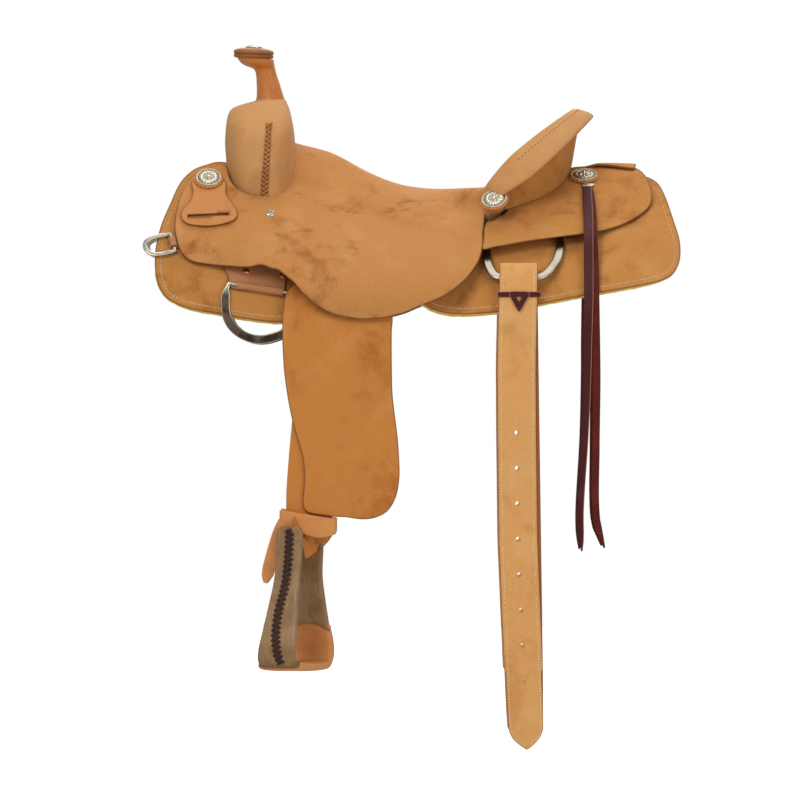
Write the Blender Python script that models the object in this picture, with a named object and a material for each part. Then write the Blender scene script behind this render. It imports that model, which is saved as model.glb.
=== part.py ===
# Cutting saddle: a western saddle in rough-out leather, built as it comes apart on a bench.
#
# Sizes are in millimetres and become metres where a mesh is made. X runs from the horse's
# head to its tail, Y across the horse with the near (left) side at -Y, Z up. The origin is
# in the saddle's middle plane, at the height of the horse's back under the rider.

import math

import bmesh
import bpy
from mathutils import Matrix, Vector

MM = 0.001

# Leather, felt and running gaps
GAP = 0.3
SKIRT_LEATHER = 5.0
FLEECE_PILE = 12.0
SEAT_LEATHER = 4.5
JOCKEY_LEATHER = 4.5
RIGGING_LEATHER = 4.5
GROUND_SEAT = 6.0
GROUND_SEAT_PLAY = 0.8
SWELL_LEATHER = 3.5
FENDER_LEATHER = 4.0
STIRRUP_LEATHER = 5.0
BILLET_LEATHER = 4.6
KEEPER_LEATHER = 4.0
BAR_THICKNESS = 20.0
BAR_TAIL_THICKNESS = 11.0

# Size of the triangles that the draped leather is folded from
GRID = 48.0
FINE_GRID = 24.0
SEAT_GRID = 44.0

# Outside of the skirts across the horse: half width = widest - curve * (z - low) ** 2
BACK_X = (-230.0, -40.0, 200.0)
BACK_WIDEST = (244.0, 245.0, 258.0)
BACK_LOW = (-145.0, -150.0, -155.0)
BACK_CURVE = (0.00285, 0.00602, 0.00493)

# Seat: height of its top line, and how far it stands off the skirts
SEAT_TOP_X = (-326, -200, -165, -149, -132, -101, -81, -51, -22, 7, 38, 58, 91, 124, 170)
SEAT_TOP_Z = (165, 165, 125, 119, 115, 107, 97, 80, 67, 58, 54, 53, 54, 55, 55)
SEAT_ROUND = 60.0
SEAT_ROUND_GIRTH = 150.0
SEAT_SHOULDER = 0.3
SEAT_SIDE_STEP = 0.75
SEAT_FRONT_RISE = 9.5
SEAT_REAR_RISE = 21.0
SEAT_BULGE_Z = (-140.0, -110.0, -85.0, -45.0, 0.0, 60.0)
SEAT_BULGE = (27.0, 42.0, 48.0, 48.0, 40.0, 40.0)

# Cantle: a swept dish whose rim carries the wide flange called a Cheyenne roll
CANTLE_FRONT_X = 124.0
CANTLE_DEPTH = 125.0
CANTLE_HALF_WIDTH = 150.0
CANTLE_LOW_Z = 55.0
CANTLE_RISE = 112.0
ROLL_WIDTH_X = 32.0
ROLL_WIDTH_Y = 25.0
ROLL_DROP = 9.0
ROLL_THICKNESS = 9.0

# Swell and horn
SWELL_FOOT_Z = 38.0
SWELL_TOP_Z = 183.0
GULLET_TOP_Z = 126.0
HORN_BASE_X = -188.0
HORN_CAP_X = -212.0
HORN_CAP_RADIUS = 29.5
HORN_CAP_THICKNESS = 13.0
HORN_CAP_Z = 239.0
HORN_CAP_TILT = math.radians(3.4)
HORN_CORE_RADIUS = 8.0

# Hardware
DEE_BAR_RADIUS = 2.5
DEE_SLEEVE_WALL = 2.5
DEE_SLEEVE_PLAY = 0.6
CONCHO_RADIUS = 18.5
ROSETTE_RADIUS = 21.5
CONCHO_HEIGHT = 6.5

# Fender and stirrup leathers, hung on the tree bar
HANGER_X = -88.0
HANGER_Z = 10.0
HANGER_RADIUS = 90.0
FENDER_Z = (-425.0, -150.0, -110.0, -80.0, -40.0)
FENDER_Y = (264.0, 264.0, 258.0, 245.0, 222.0)

# Stirrup
STIRRUP_TURN = math.radians(65.0)
BOLT_X = -145.0
BOLT_Z = -458.0
BOLT_RADIUS = 5.0
STIRRUP_WALL = 9.0
STIRRUP_DROP = 180.0
STIRRUP_TREAD_DEPTH = 62.0

# Flank billet
BILLET_WIDTH = 56.0
BILLET_HOLE_RADIUS = 3.5
BILLET_HOLE_PITCH = 51.3
BILLET_HOLES = 8
BILLET_FIRST_HOLE_Z = -301.0

SADDLE = bpy.data.collections.new("cutting_saddle")
TOOLS = bpy.data.collections.new("cutters")

COLOURS = {
    "roughout": ((0.58, 0.29, 0.10), 0.9, 0.0),
    "roughout_pale": ((0.61, 0.35, 0.16), 0.9, 0.0),
    "smooth_leather": ((0.50, 0.17, 0.04), 0.45, 0.0),
    "fleece": ((0.80, 0.52, 0.14), 1.0, 0.0),
    "wood": ((0.45, 0.30, 0.17), 0.7, 0.0),
    "rawhide": ((0.30, 0.21, 0.09), 0.5, 0.0),
    "steel": ((0.60, 0.60, 0.58), 0.22, 1.0),
    "silver": ((0.72, 0.70, 0.66), 0.3, 1.0),
    "latigo": ((0.06, 0.01, 0.01), 0.5, 0.0),
}


# Scene helpers

def clear_scene():
    for obj in list(bpy.data.objects):
        bpy.data.objects.remove(obj, do_unlink=True)
    for collection in (SADDLE, TOOLS):
        bpy.context.scene.collection.children.link(collection)


def material(name, slot):
    colour, roughness, metallic = COLOURS[slot]
    made = bpy.data.materials.new(name)
    made.use_nodes = True
    shader = made.node_tree.nodes["Principled BSDF"]
    shader.inputs["Base Color"].default_value = (*colour, 1.0)
    shader.inputs["Roughness"].default_value = roughness
    shader.inputs["Metallic"].default_value = metallic
    return made


def object_from(bm, name, slot=None, origin=(0.0, 0.0, 0.0), sharp=40.0):
    """Turn a bmesh in millimetres into an object in metres with its origin at a point."""
    origin = Vector(origin)
    bmesh.ops.transform(bm, matrix=Matrix.Translation(-origin), verts=bm.verts)
    bmesh.ops.transform(bm, matrix=Matrix.Scale(MM, 4), verts=bm.verts)
    mesh = bpy.data.meshes.new(name)
    bm.to_mesh(mesh)
    bm.free()
    mesh.shade_smooth()
    mesh.set_sharp_from_angle(angle=math.radians(sharp))
    obj = bpy.data.objects.new(name, mesh)
    obj.location = origin * MM
    if slot:
        mesh.materials.append(material(name, slot))
        SADDLE.objects.link(obj)
    else:
        obj.hide_render = True
        obj.display_type = "WIRE"
        TOOLS.objects.link(obj)
    return obj


def boolean(target, tool, operation="DIFFERENCE"):
    modifier = target.modifiers.new(tool.name, "BOOLEAN")
    modifier.operation = operation
    modifier.solver = "EXACT"
    modifier.object = tool


def side_name(side):
    return "left" if side < 0 else "right"


def flip_side(bm, side):
    """The pieces are drawn at +Y; the near side is their mirror image."""
    if side < 0:
        bmesh.ops.scale(bm, vec=(1.0, -1.0, 1.0), verts=bm.verts)
    bmesh.ops.recalc_face_normals(bm, faces=bm.faces)


# Number helpers

def clamp(value, low=0.0, high=1.0):
    return max(low, min(high, value))


def smooth(value):
    value = clamp(value)
    return value * value * (3.0 - 2.0 * value)


def lerp(a, b, t):
    return a + (b - a) * t


def table(x, xs, ys, ease=False):
    """Value at x of a line through the points (xs, ys), eased between them if asked."""
    if x <= xs[0]:
        return ys[0]
    for i in range(1, len(xs)):
        if x <= xs[i]:
            t = (x - xs[i - 1]) / (xs[i] - xs[i - 1])
            return lerp(ys[i - 1], ys[i], smooth(t) if ease else t)
    return ys[-1]


def curve_through(points, steps, closed=True):
    """Catmull-Rom curve through hand-placed points, with a few steps between each pair."""
    points = [Vector(p) for p in points]
    count = len(points)
    spans = count if closed else count - 1
    result = []
    for i in range(spans):
        if closed:
            a, b, c, d = (points[(i + k) % count] for k in (-1, 0, 1, 2))
        else:
            a, b, c, d = (points[clamp(i + k, 0, count - 1)] for k in (-1, 0, 1, 2))
        for k in range(steps):
            t = k / steps
            result.append(0.5 * (2 * b + (c - a) * t + (2 * a - 5 * b + 4 * c - d) * t * t
                                 + (3 * b - a - 3 * c + d) * t * t * t))
    if not closed:
        result.append(points[-1])
    return result


# The surfaces that the leather lies on

def back_y(x, z):
    """Half width of the skirts' outer face at a place of the side view."""
    widest = table(x, BACK_X, BACK_WIDEST, True)
    low = table(x, BACK_X, BACK_LOW, True)
    curve = table(x, BACK_X, BACK_CURVE, True)
    return widest - curve * (z - low) * abs(z - low)


def back_slant(x, z):
    """How much further a layer moves along Y than it is thick, because the side slopes."""
    reach = 2.0
    dz = (back_y(x, z + reach) - back_y(x, z - reach)) / (2 * reach)
    dx = (back_y(x + reach, z) - back_y(x - reach, z)) / (2 * reach)
    return math.sqrt(1.0 + dz * dz + dx * dx)


def back_layer(height):
    return lambda x, z: back_y(x, z) + height * back_slant(x, z)


def seat_rise(x, z):
    thin = lerp(SEAT_FRONT_RISE, SEAT_REAR_RISE, smooth(x / 100.0)) * back_slant(x, z)
    middle = smooth((x + 290.0) / 125.0) * (1.0 - smooth((x - 45.0) / 85.0))
    foot_of_swell = smooth((z + 30.0) / 60.0) * smooth((-140.0 - x) / 50.0)
    return lerp(thin, table(z, SEAT_BULGE_Z, SEAT_BULGE), middle * (1.0 - foot_of_swell))


def seat_y(x, z):
    """Half width of the seat leather's outer face down its side."""
    side = max(back_y(x, z) + seat_rise(x, z), 1.0)
    wall = CANTLE_HALF_WIDTH * smooth((x - 20.0) / 95.0) * smooth((z + 60.0) / 70.0)
    return (side ** 8 + max(wall, 1.0) ** 8) ** 0.125


def folded(surface, low=None, grid=GRID):
    """The same surface as flat triangles on the leather's grid, so layers lie true."""
    corners = {}

    def corner(i, j):
        if (i, j) not in corners:
            value = surface(i * grid, j * grid)
            corners[(i, j)] = value if low is None else max(value, low)
        return corners[(i, j)]

    def place(x, z):
        i, j = math.floor(x / grid), math.floor(z / grid)
        u, v = x / grid - i, z / grid - j
        if u + v <= 1.0:
            base = corner(i, j)
            return base + u * (corner(i + 1, j) - base) + v * (corner(i, j + 1) - base)
        base = corner(i + 1, j + 1)
        return base + (1 - u) * (corner(i, j + 1) - base) + (1 - v) * (corner(i + 1, j) - base)

    return place


def flat_blank(outline, grid):
    """A leather blank in the plane of its drawing, scored along the grid's fold lines."""
    bm = bmesh.new()
    bm.faces.new([bm.verts.new((p[0], 0.0, p[1])) for p in outline])
    for normal in (Vector((1, 0, 0)), Vector((0, 0, 1)), Vector((1, 0, 1))):
        reach = [v.co.dot(normal) / grid for v in bm.verts]
        for k in range(math.ceil(min(reach)), math.floor(max(reach)) + 1):
            bmesh.ops.bisect_plane(
                bm, geom=bm.verts[:] + bm.edges[:] + bm.faces[:], dist=1e-4,
                plane_co=normal * (k * grid / normal.length_squared), plane_no=normal)
    return bm


def draped(name, outline, inner, outer, side, slot, origin=(0.0, 0.0, 0.0), grid=GRID):
    """Leather cut to an outline of the side view, between two folded surfaces."""
    bm = flat_blank(outline, grid)
    skin = bmesh.ops.extrude_face_region(bm, geom=bm.faces[:], use_keep_orig=True)
    raised = {v for v in skin["geom"] if isinstance(v, bmesh.types.BMVert)}
    for vert in bm.verts:
        surface = outer if vert in raised else inner
        vert.co.y = surface(vert.co.x, vert.co.z)
    flip_side(bm, side)
    return object_from(bm, name, slot, origin)


def loft(rings, closed_ring=True, closed_path=False, caps=True):
    """Skin a row of rings that have the same number of points."""
    bm = bmesh.new()
    rows = [[bm.verts.new(p) for p in ring] for ring in rings]
    count = len(rows[0])
    spans = len(rows) if closed_path else len(rows) - 1
    for i in range(spans):
        a, b = rows[i], rows[(i + 1) % len(rows)]
        for j in range(count if closed_ring else count - 1):
            k = (j + 1) % count
            bm.faces.new((a[j], a[k], b[k], b[j]))
    if caps and not closed_path:
        bm.faces.new(rows[0][::-1])
        bm.faces.new(rows[-1])
    bmesh.ops.recalc_face_normals(bm, faces=bm.faces)
    return bm


def rounded_ring(centre, along, across, half_long, half_wide, count, power):
    """A ring between an ellipse (power 2) and a rounded rectangle (power 4 and more)."""
    ring = []
    for k in range(count):
        angle = 2 * math.pi * (k + 0.5) / count
        c, s = math.cos(angle), math.sin(angle)
        u = half_long * math.copysign(abs(c) ** (2 / power), c)
        v = half_wide * math.copysign(abs(s) ** (2 / power), s)
        ring.append(Vector(centre) + Vector(along) * u + Vector(across) * v)
    return ring


def turned(profile, centre, axis, count, lobes=0, lobe_depth=0.0):
    """A turned piece: (radius, height) pairs about an axis; the first pair may be scalloped."""
    axis = Vector(axis).normalized()
    u = axis.orthogonal().normalized()
    v = axis.cross(u)
    rings = []
    for radius, height, scalloped in profile:
        ring = []
        for k in range(count):
            angle = 2 * math.pi * k / count
            r = radius - (lobe_depth if scalloped and k % 2 else 0.0)
            ring.append(Vector(centre) + axis * height + (u * math.cos(angle) + v * math.sin(angle)) * r)
        rings.append(ring)
    return loft(rings)


def rod(name, start, end, radius, count=12, slot=None, origin=(0.0, 0.0, 0.0)):
    start, end = Vector(start), Vector(end)
    axis = end - start
    bm = turned([(radius, 0.0, False), (radius, axis.length, False)], start, axis, count)
    return object_from(bm, name, slot, origin)


def strap(name, stations, thickness, slot, side, origin=(0.0, 0.0, 0.0)):
    """A flat strap: each station is a centre, a direction across its width and a width."""
    rings = []
    for i, (centre, across, width) in enumerate(stations):
        before = Vector(stations[max(i - 1, 0)][0])
        after = Vector(stations[min(i + 1, len(stations) - 1)][0])
        across = Vector(across).normalized()
        lift = across.cross(after - before).normalized() * (thickness / 2)
        reach = across * (width / 2)
        centre = Vector(centre)
        rings.append([centre - reach - lift, centre + reach - lift,
                      centre + reach + lift, centre - reach + lift])
    bm = loft(rings)
    flip_side(bm, side)
    return object_from(bm, name, slot, origin)


def on_surface(surface, x, z):
    """A point on a folded surface and the outward direction there, at +Y."""
    reach = 12.0
    dx = (surface(x + reach, z) - surface(x - reach, z)) / (2 * reach)
    dz = (surface(x, z + reach) - surface(x, z - reach)) / (2 * reach)
    return Vector((x, surface(x, z), z)), Vector((-dx, 1.0, -dz)).normalized()


def mirrored(point, side):
    return Vector((point[0], point[1] * side, point[2]))


SKIRT_OUTER = folded(back_layer(0.0), 6 * GAP)
SKIRT_INNER = folded(back_layer(-SKIRT_LEATHER), 4 * GAP)
FLEECE_OUTER = folded(back_layer(-SKIRT_LEATHER - GAP), 3 * GAP)
FLEECE_INNER = folded(back_layer(-SKIRT_LEATHER - GAP - FLEECE_PILE), GAP)


# Skirts and fleece

SKIRT_OUTLINE = [
    (-262, 92), (-280, 88), (-300, 80), (-318, 62), (-333, 30), (-346, -2), (-354, -40),
    (-352, -78), (-339, -104), (-309, -120), (-259, -130), (-212, -138), (-170, -141),
    (-146, -134), (-126, -112), (-90, -98), (-40, -96), (0, -100), (28, -112), (50, -124),
    (84, -130), (144, -126), (199, -116), (265, -103), (317, -94), (368, -84), (392, -74),
    (404, -54), (405, -24), (396, 8), (385, 42), (374, 62), (357, 71),
]
SKIRT_SPINE = [
    (300, 72), (240, 71), (200, 58), (160, 42), (120, 28), (60, 22), (-40, 24), (-90, 30),
    (-140, 46), (-190, 68), (-230, 86),
]
FLEECE_SPINE_DROP = 14.0
FLEECE_RIM = 2.0


def make_skirt(side):
    outline = [Vector(p) for p in SKIRT_OUTLINE + SKIRT_SPINE]
    draped("skirt_" + side_name(side), outline, SKIRT_INNER, SKIRT_OUTER, side, "roughout")


def make_fleece(side):
    outline = [Vector((x, z - FLEECE_RIM)) for x, z in SKIRT_OUTLINE[4:-3]]
    outline += [Vector((383, 38)), Vector((366, 56))]
    outline += [Vector((x, z - FLEECE_SPINE_DROP)) for x, z in SKIRT_SPINE]
    outline += [Vector((-262, 76)), Vector((-300, 62))]
    draped("fleece_" + side_name(side), outline, FLEECE_INNER, FLEECE_OUTER, side, "fleece")


# Rawhide-covered tree

BAR_TOP = [
    (222, 48), (180, 36), (140, 24), (80, 12), (20, 8), (-40, 10), (-90, 16), (-140, 28), (-200, 34),
    (-244, 30),
]
BAR_FRONT = [(-258, 4), (-250, -22), (-215, -33), (-180, -33)]
BAR_REAR = [(20, -38), (90, -22), (160, 0), (214, 20), (228, 38)]
BAR_ARC_FROM = math.radians(236.0)
BAR_ARC_TO = math.radians(302.0)
BAR_UNDER_SEAT = 17.0


def hanger_arc(radius, start, end, count):
    """Points about the line where the stirrup leather hangs over the bar."""
    return [Vector((HANGER_X + radius * math.cos(lerp(start, end, k / count)),
                    HANGER_Z + radius * math.sin(lerp(start, end, k / count))))
            for k in range(count + 1)]


def bar_outer_y(x, z):
    slant = back_slant(x, z)
    thick = lerp(BAR_THICKNESS, BAR_TAIL_THICKNESS, smooth((x - 60.0) / 60.0))
    return max(min(back_y(x, z) + thick * slant, seat_y(x, z) - BAR_UNDER_SEAT * slant),
               back_y(x, z) + 2 * GAP + 1.5)


BAR_OUTER = folded(bar_outer_y)
BAR_INNER = folded(back_layer(GAP))


def make_tree_bar(side):
    lobe = hanger_arc(HANGER_RADIUS - GAP, BAR_ARC_FROM, BAR_ARC_TO, 8)
    outline = ([Vector(p) for p in BAR_TOP] + [Vector(p) for p in BAR_FRONT] + lobe
               + [Vector(p) for p in BAR_REAR])
    draped("tree_bar_" + side_name(side), outline, BAR_INNER, BAR_OUTER, side, "wood")


SWELL_LEVELS = (38, 55, 80, 105, 130, 150, 166, 176, 183)
SWELL_HALF_Y = (147, 151, 155.5, 156, 150, 132, 104, 72, 40)
SWELL_X_FRONT = (-250, -253, -254, -254, -253, -250, -244, -234, -222)
SWELL_X_REAR = (-154, -153, -152, -152, -153, -156, -160, -164, -166)
SWELL_FOOT_LIFT = 20.0
SWELL_RING = 24


def swell_body(inset, foot_drop):
    """The swell as level rings, drawn in by an inset, with its foot raised fore and aft."""
    rings = []
    for i, z in enumerate(SWELL_LEVELS):
        front, rear = SWELL_X_FRONT[i] + inset, SWELL_X_REAR[i] - inset
        level = z - inset * smooth((z - 130.0) / 53.0) * 1.0
        if i == 0:
            level -= foot_drop
        ring = rounded_ring(((front + rear) / 2, 0, level), (1, 0, 0), (0, 1, 0),
                            (rear - front) / 2, SWELL_HALF_Y[i] - inset, SWELL_RING, 3.6)
        middle, half = (front + rear) / 2, (rear - front) / 2
        for point in ring:
            lift = abs((point.x - middle) / half) ** 3 * SWELL_FOOT_LIFT
            point.z += lift * (1.0 - smooth((z - SWELL_FOOT_Z) / 60.0))
        rings.append(ring)
    return loft(rings)


def gullet_cutter(name, clearance):
    """The horse's withers and the arched gullet above them, as one lofted tool."""
    rings = []
    for x in (-290, -254, -220, -190, -150, -120):
        ring = []
        for z in (-20, 0, 20, 40, 60, 80):
            ring.append(Vector((x, back_y(x, z) + clearance * back_slant(x, z), z)))
        edge, spring = ring[-1].y, ring[-1].z
        for k in range(1, 6):
            angle = math.pi / 2 * k / 5
            ring.append(Vector((x, edge * math.cos(angle) if k < 5 else 0.0,
                                spring + (GULLET_TOP_Z + clearance - spring) * math.sin(angle))))
        ring += [Vector((p.x, -p.y, p.z)) for p in ring[-2::-1]]
        rings.append(ring)
    return object_from(loft(rings), name)


def make_swell_and_fork():
    cover = object_from(swell_body(0.0, 0.0), "swell_cover", "roughout_pale")
    hollow = object_from(swell_body(SWELL_LEATHER, 40.0), "cut_swell_inside")
    gullet = gullet_cutter("cut_gullet", 1.2)
    boolean(cover, hollow)
    boolean(cover, gullet)
    core_foot = Vector((HORN_BASE_X, 0, SWELL_TOP_Z - 40))
    core_head = Vector((HORN_BASE_X - 8, 0, HORN_CAP_Z - 10))
    fork = object_from(swell_body(SWELL_LEATHER + GAP, -GAP), "tree_fork", "wood")
    boolean(fork, gullet)
    boolean(fork, rod("join_horn_core", core_foot, core_head, HORN_CORE_RADIUS), "UNION")
    hole = rod("cut_horn_hole", core_foot, core_head + Vector((0, 0, 1)), HORN_CORE_RADIUS + GAP)
    boolean(cover, hole)
    return hole


# Horn: leather-wrapped neck, two-layer cap and a concho on top

HORN_LEVELS = (183.3, 194, 209, 225, 231, 236.5, 238.6)
HORN_X = (-188, -190, -192.3, -196, -197.5, -206, -212)
HORN_HALF_X = (21.5, 18.7, 16.2, 14.6, 15.3, 23.0, 26.0)
HORN_HALF_Y = (19.0, 17.0, 15.0, 14.2, 15.3, 23.0, 26.0)


def make_horn(hole):
    rings = [rounded_ring((x, 0, z), (1, 0, 0), (0, 1, 0), rx, ry, 16, 2.0)
             for z, x, rx, ry in zip(HORN_LEVELS, HORN_X, HORN_HALF_X, HORN_HALF_Y)]
    wrap = object_from(loft(rings), "horn_wrap", "smooth_leather")
    boolean(wrap, hole)
    centre = Vector((HORN_CAP_X, 0, HORN_CAP_Z + GAP))
    axis = Vector((math.sin(HORN_CAP_TILT), 0, math.cos(HORN_CAP_TILT)))
    half = HORN_CAP_THICKNESS / 2
    profile = [
        (HORN_CAP_RADIUS - 4, 1.2), (HORN_CAP_RADIUS - 0.8, 2.4), (HORN_CAP_RADIUS, half - 1),
        (HORN_CAP_RADIUS - 1.0, half), (HORN_CAP_RADIUS, half + 1),
        (HORN_CAP_RADIUS - 1.5, HORN_CAP_THICKNESS - 1), (HORN_CAP_RADIUS - 6, HORN_CAP_THICKNESS + 1.2),
        (HORN_CAP_RADIUS - 16, HORN_CAP_THICKNESS + 3),
    ]
    bm = turned([(r, z, False) for r, z in profile], centre, axis, 20)
    object_from(bm, "horn_cap", "smooth_leather")
    top = centre + axis * (HORN_CAP_THICKNESS + 3 + GAP)
    bm = turned([(12.5, 0, False), (12.5, 1.6, False), (7, 3.0, False), (2, 3.4, False)], top, axis, 16)
    object_from(bm, "horn_cap_concho", "silver")


# Seat: one piece of leather from the swell to the cantle, with its jockey flaps

SEAT_FLAP = [
    (-164, 66), (-172, 54), (-184, 46), (-203, 43), (-224, 47), (-238, 56), (-246, 68), (-252, 87),
    (-264, 88), (-279, 83), (-291, 78), (-300, 72), (-310, 60), (-319, 40), (-325, 15), (-326, -5),
    (-323, -22), (-315, -42), (-300, -53), (-280, -57), (-250, -60), (-215, -61), (-190, -62),
    (-172, -68), (-156, -81), (-141, -99), (-122, -116), (-98, -129), (-66, -136), (-32, -136),
    (0, -130), (34, -116), (64, -103), (90, -84), (105, -67), (116, -47), (120, -24), (121, -4),
    (127, 7), (140, 14), (150, 21), (154, 32),
]
DISH_CORNER = 0.5
DISH_INSET = 7.0


def seat_power(x):
    return lerp(2.0, 8.0, smooth((x - 30.0) / 94.0))


def seat_top(x):
    return table(x, SEAT_TOP_X, SEAT_TOP_Z)


def seat_section(x, girth):
    """Point of the seat at a station, a girth down from its top line."""
    start = seat_top(x) - SEAT_ROUND
    if girth >= SEAT_ROUND_GIRTH:
        z = start - (girth - SEAT_ROUND_GIRTH) * SEAT_SIDE_STEP
        return Vector((x, seat_y(x, z), z))
    angle = math.pi / 2 * girth / SEAT_ROUND_GIRTH
    power = 2.0 / seat_power(x)
    z = start + SEAT_ROUND * math.cos(angle) ** power
    shoulder = seat_y(x, lerp(start, z, lerp(SEAT_SHOULDER, 1.0, smooth((x - 30.0) / 70.0))))
    return Vector((x, shoulder * math.sin(angle) ** power, z))


def seat_girth(x, z):
    """The girth at which the seat's section reaches a height: the inverse of the above."""
    start = seat_top(x) - SEAT_ROUND
    if z <= start:
        return SEAT_ROUND_GIRTH + (start - z) / SEAT_SIDE_STEP
    share = clamp((z - start) / SEAT_ROUND)
    return SEAT_ROUND_GIRTH * math.acos(share ** (seat_power(x) / 2)) / (math.pi / 2)


def dish_reach(y):
    """How far back the dish runs at a half width, as a share of its depth."""
    return math.sqrt(max(0.0, 1.0 - (y / dish_half_width()) ** 2))


def dish_half_width():
    return seat_section(CANTLE_FRONT_X, SEAT_ROUND_GIRTH * DISH_CORNER).y


def seat_point(x, girth):
    if x <= CANTLE_FRONT_X or girth > SEAT_ROUND_GIRTH * DISH_CORNER:
        return seat_section(x, girth)
    level = seat_section(CANTLE_FRONT_X, girth)
    share = dish_reach(level.y)
    back = (CANTLE_DEPTH - DISH_INSET) * share
    rim = CANTLE_LOW_Z + CANTLE_RISE * share ** 0.75 - 2.0
    t = clamp((x - CANTLE_FRONT_X) / max(back, 1.0))
    return Vector((x, level.y, level.z + (rim - level.z) * t * t))


def seat_outline():
    front = [Vector((-156.0, g)) for g in (0, 30, 60, 90)]
    rim = []
    for k in range(9):
        angle = math.pi / 2 * k / 9
        x = CANTLE_FRONT_X + (CANTLE_DEPTH - DISH_INSET) * math.cos(angle)
        y = dish_half_width() * math.sin(angle)
        low, high = 0.0, SEAT_ROUND_GIRTH * DISH_CORNER
        for _ in range(24):
            girth = (low + high) / 2
            low, high = (girth, high) if seat_section(CANTLE_FRONT_X, girth).y < y else (low, girth)
        rim.append(Vector((x, girth)))
    rim.append(Vector((CANTLE_FRONT_X, SEAT_ROUND_GIRTH * DISH_CORNER)))
    flap = [Vector((x, seat_girth(x, z))) for x, z in SEAT_FLAP]
    return front[::-1] + rim + flap[::-1]


def seat_point_below(x, girth, depth):
    """Point a depth under the seat's surface, square to it."""
    point = seat_point(x, girth)
    along = seat_point(x + 3.0, girth) - seat_point(x - 3.0, girth)
    down = seat_point(x, girth + 3.0) - seat_point(x, max(girth - 3.0, 0.0))
    below = point + down.cross(along).normalized() * depth
    return Vector((below.x, 0.0 if girth < 0.01 else below.y, below.z))


def seat_layer(name, outline, slot, upper, lower):
    """A layer of the seat, drawn as half a blank and closed against its mirror image."""
    bm = flat_blank(outline, SEAT_GRID)
    skin = bmesh.ops.extrude_face_region(bm, geom=bm.faces[:], use_keep_orig=True)
    raised = {v for v in skin["geom"] if isinstance(v, bmesh.types.BMVert)}
    middle = [f for f in bm.faces if all(v.co.z < 0.01 for v in f.verts)]
    bmesh.ops.delete(bm, geom=middle, context="FACES")
    for vert in bm.verts:
        surface = upper if vert in raised else lower
        vert.co = surface(vert.co.x, max(vert.co.z, 0.0))
    bmesh.ops.mirror(bm, geom=bm.verts[:] + bm.edges[:] + bm.faces[:], axis="Y", merge_dist=0.001)
    bmesh.ops.triangulate(bm, faces=bm.faces[:])
    bmesh.ops.recalc_face_normals(bm, faces=bm.faces)
    return object_from(bm, name, slot)


def make_seat():
    seat = seat_layer("seat_leather", seat_outline(), "roughout",
                      lambda x, girth: seat_point_below(x, girth, 0.0),
                      lambda x, girth: seat_point_below(x, girth, SEAT_LEATHER))
    boolean(seat, object_from(swell_body(-2 * GAP, 10.0), "cut_swell_from_seat"))


GROUND_SEAT_END = CANTLE_FRONT_X + 0.72 * CANTLE_DEPTH
GROUND_SEAT_OUTLINE = [
    (-126, 0), (GROUND_SEAT_END, 0), (GROUND_SEAT_END - 14, 36), (GROUND_SEAT_END - 40, 50),
    (120, 60), (60, 84), (0, 118), (-60, 124), (-110, 104), (-126, 84),
]


def make_ground_seat():
    outline = [Vector(p) for p in GROUND_SEAT_OUTLINE]
    top = SEAT_LEATHER + GROUND_SEAT_PLAY
    upper = folded(lambda x, girth: seat_point_below(x, girth, top), grid=SEAT_GRID)
    lower = folded(lambda x, girth: seat_point_below(x, girth, top + GROUND_SEAT), grid=SEAT_GRID)
    seat_layer("ground_seat", outline, "wood", upper, lower)


# Rear jockeys and the tab that joins them over the spine

REAR_JOCKEY = [
    (344, 83), (356, 73), (363, 58), (366, 42), (361, 26), (343, 11), (317, -2), (283, -11),
    (239, -17), (187, -24), (136, -33), (122, -35),
]
REAR_JOCKEY_FRONT = [(123, -20), (124, -4), (130, 5), (142, 11), (153, 18), (158, 34)]
REAR_JOCKEY_SPINE_Z = 85.5
REAR_JOCKEY_STANDOFF = 15.5
REAR_JOCKEY_RIDGE = 10.8


def rear_jockey_height(x, z):
    """Standoff of the rear jockey's flesh side: over the rear rigging and along the spine."""
    side = lerp(REAR_JOCKEY_STANDOFF, 0.8, smooth((x - 240.0) / 80.0))
    return lerp(side, REAR_JOCKEY_RIDGE, smooth((z - 20.0) / 45.0))


def rear_jockey_face(thickness):
    return lambda x, z: back_y(x, z) + (rear_jockey_height(x, z) + thickness) * back_slant(x, z)


REAR_JOCKEY_INNER = folded(rear_jockey_face(0.0), 2 * GAP)
REAR_JOCKEY_OUTER = folded(rear_jockey_face(JOCKEY_LEATHER), 4 * GAP)


def make_rear_jockey(side):
    spine = [(200, 66), (235, 80), (258, REAR_JOCKEY_SPINE_Z), (312, REAR_JOCKEY_SPINE_Z)]
    outline = [Vector(p) for p in REAR_JOCKEY + REAR_JOCKEY_FRONT + spine]
    draped("rear_jockey_" + side_name(side), outline, REAR_JOCKEY_INNER, REAR_JOCKEY_OUTER, side,
           "roughout")


# Cantle: the roll, the leather behind it and the tree's cantle inside

def roll_inner(angle):
    c, s = math.cos(angle), math.sin(angle)
    return Vector((CANTLE_FRONT_X + CANTLE_DEPTH * c, CANTLE_HALF_WIDTH * s,
                   CANTLE_LOW_Z + CANTLE_RISE * max(c, 0.0) ** 0.75))


def roll_outer(angle):
    c, s = math.cos(angle), math.sin(angle)
    return Vector((CANTLE_FRONT_X + ROLL_WIDTH_X + CANTLE_DEPTH * c,
                   (CANTLE_HALF_WIDTH + ROLL_WIDTH_Y) * s,
                   CANTLE_LOW_Z - ROLL_DROP + CANTLE_RISE * max(c, 0.0) ** 1.2))


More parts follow.
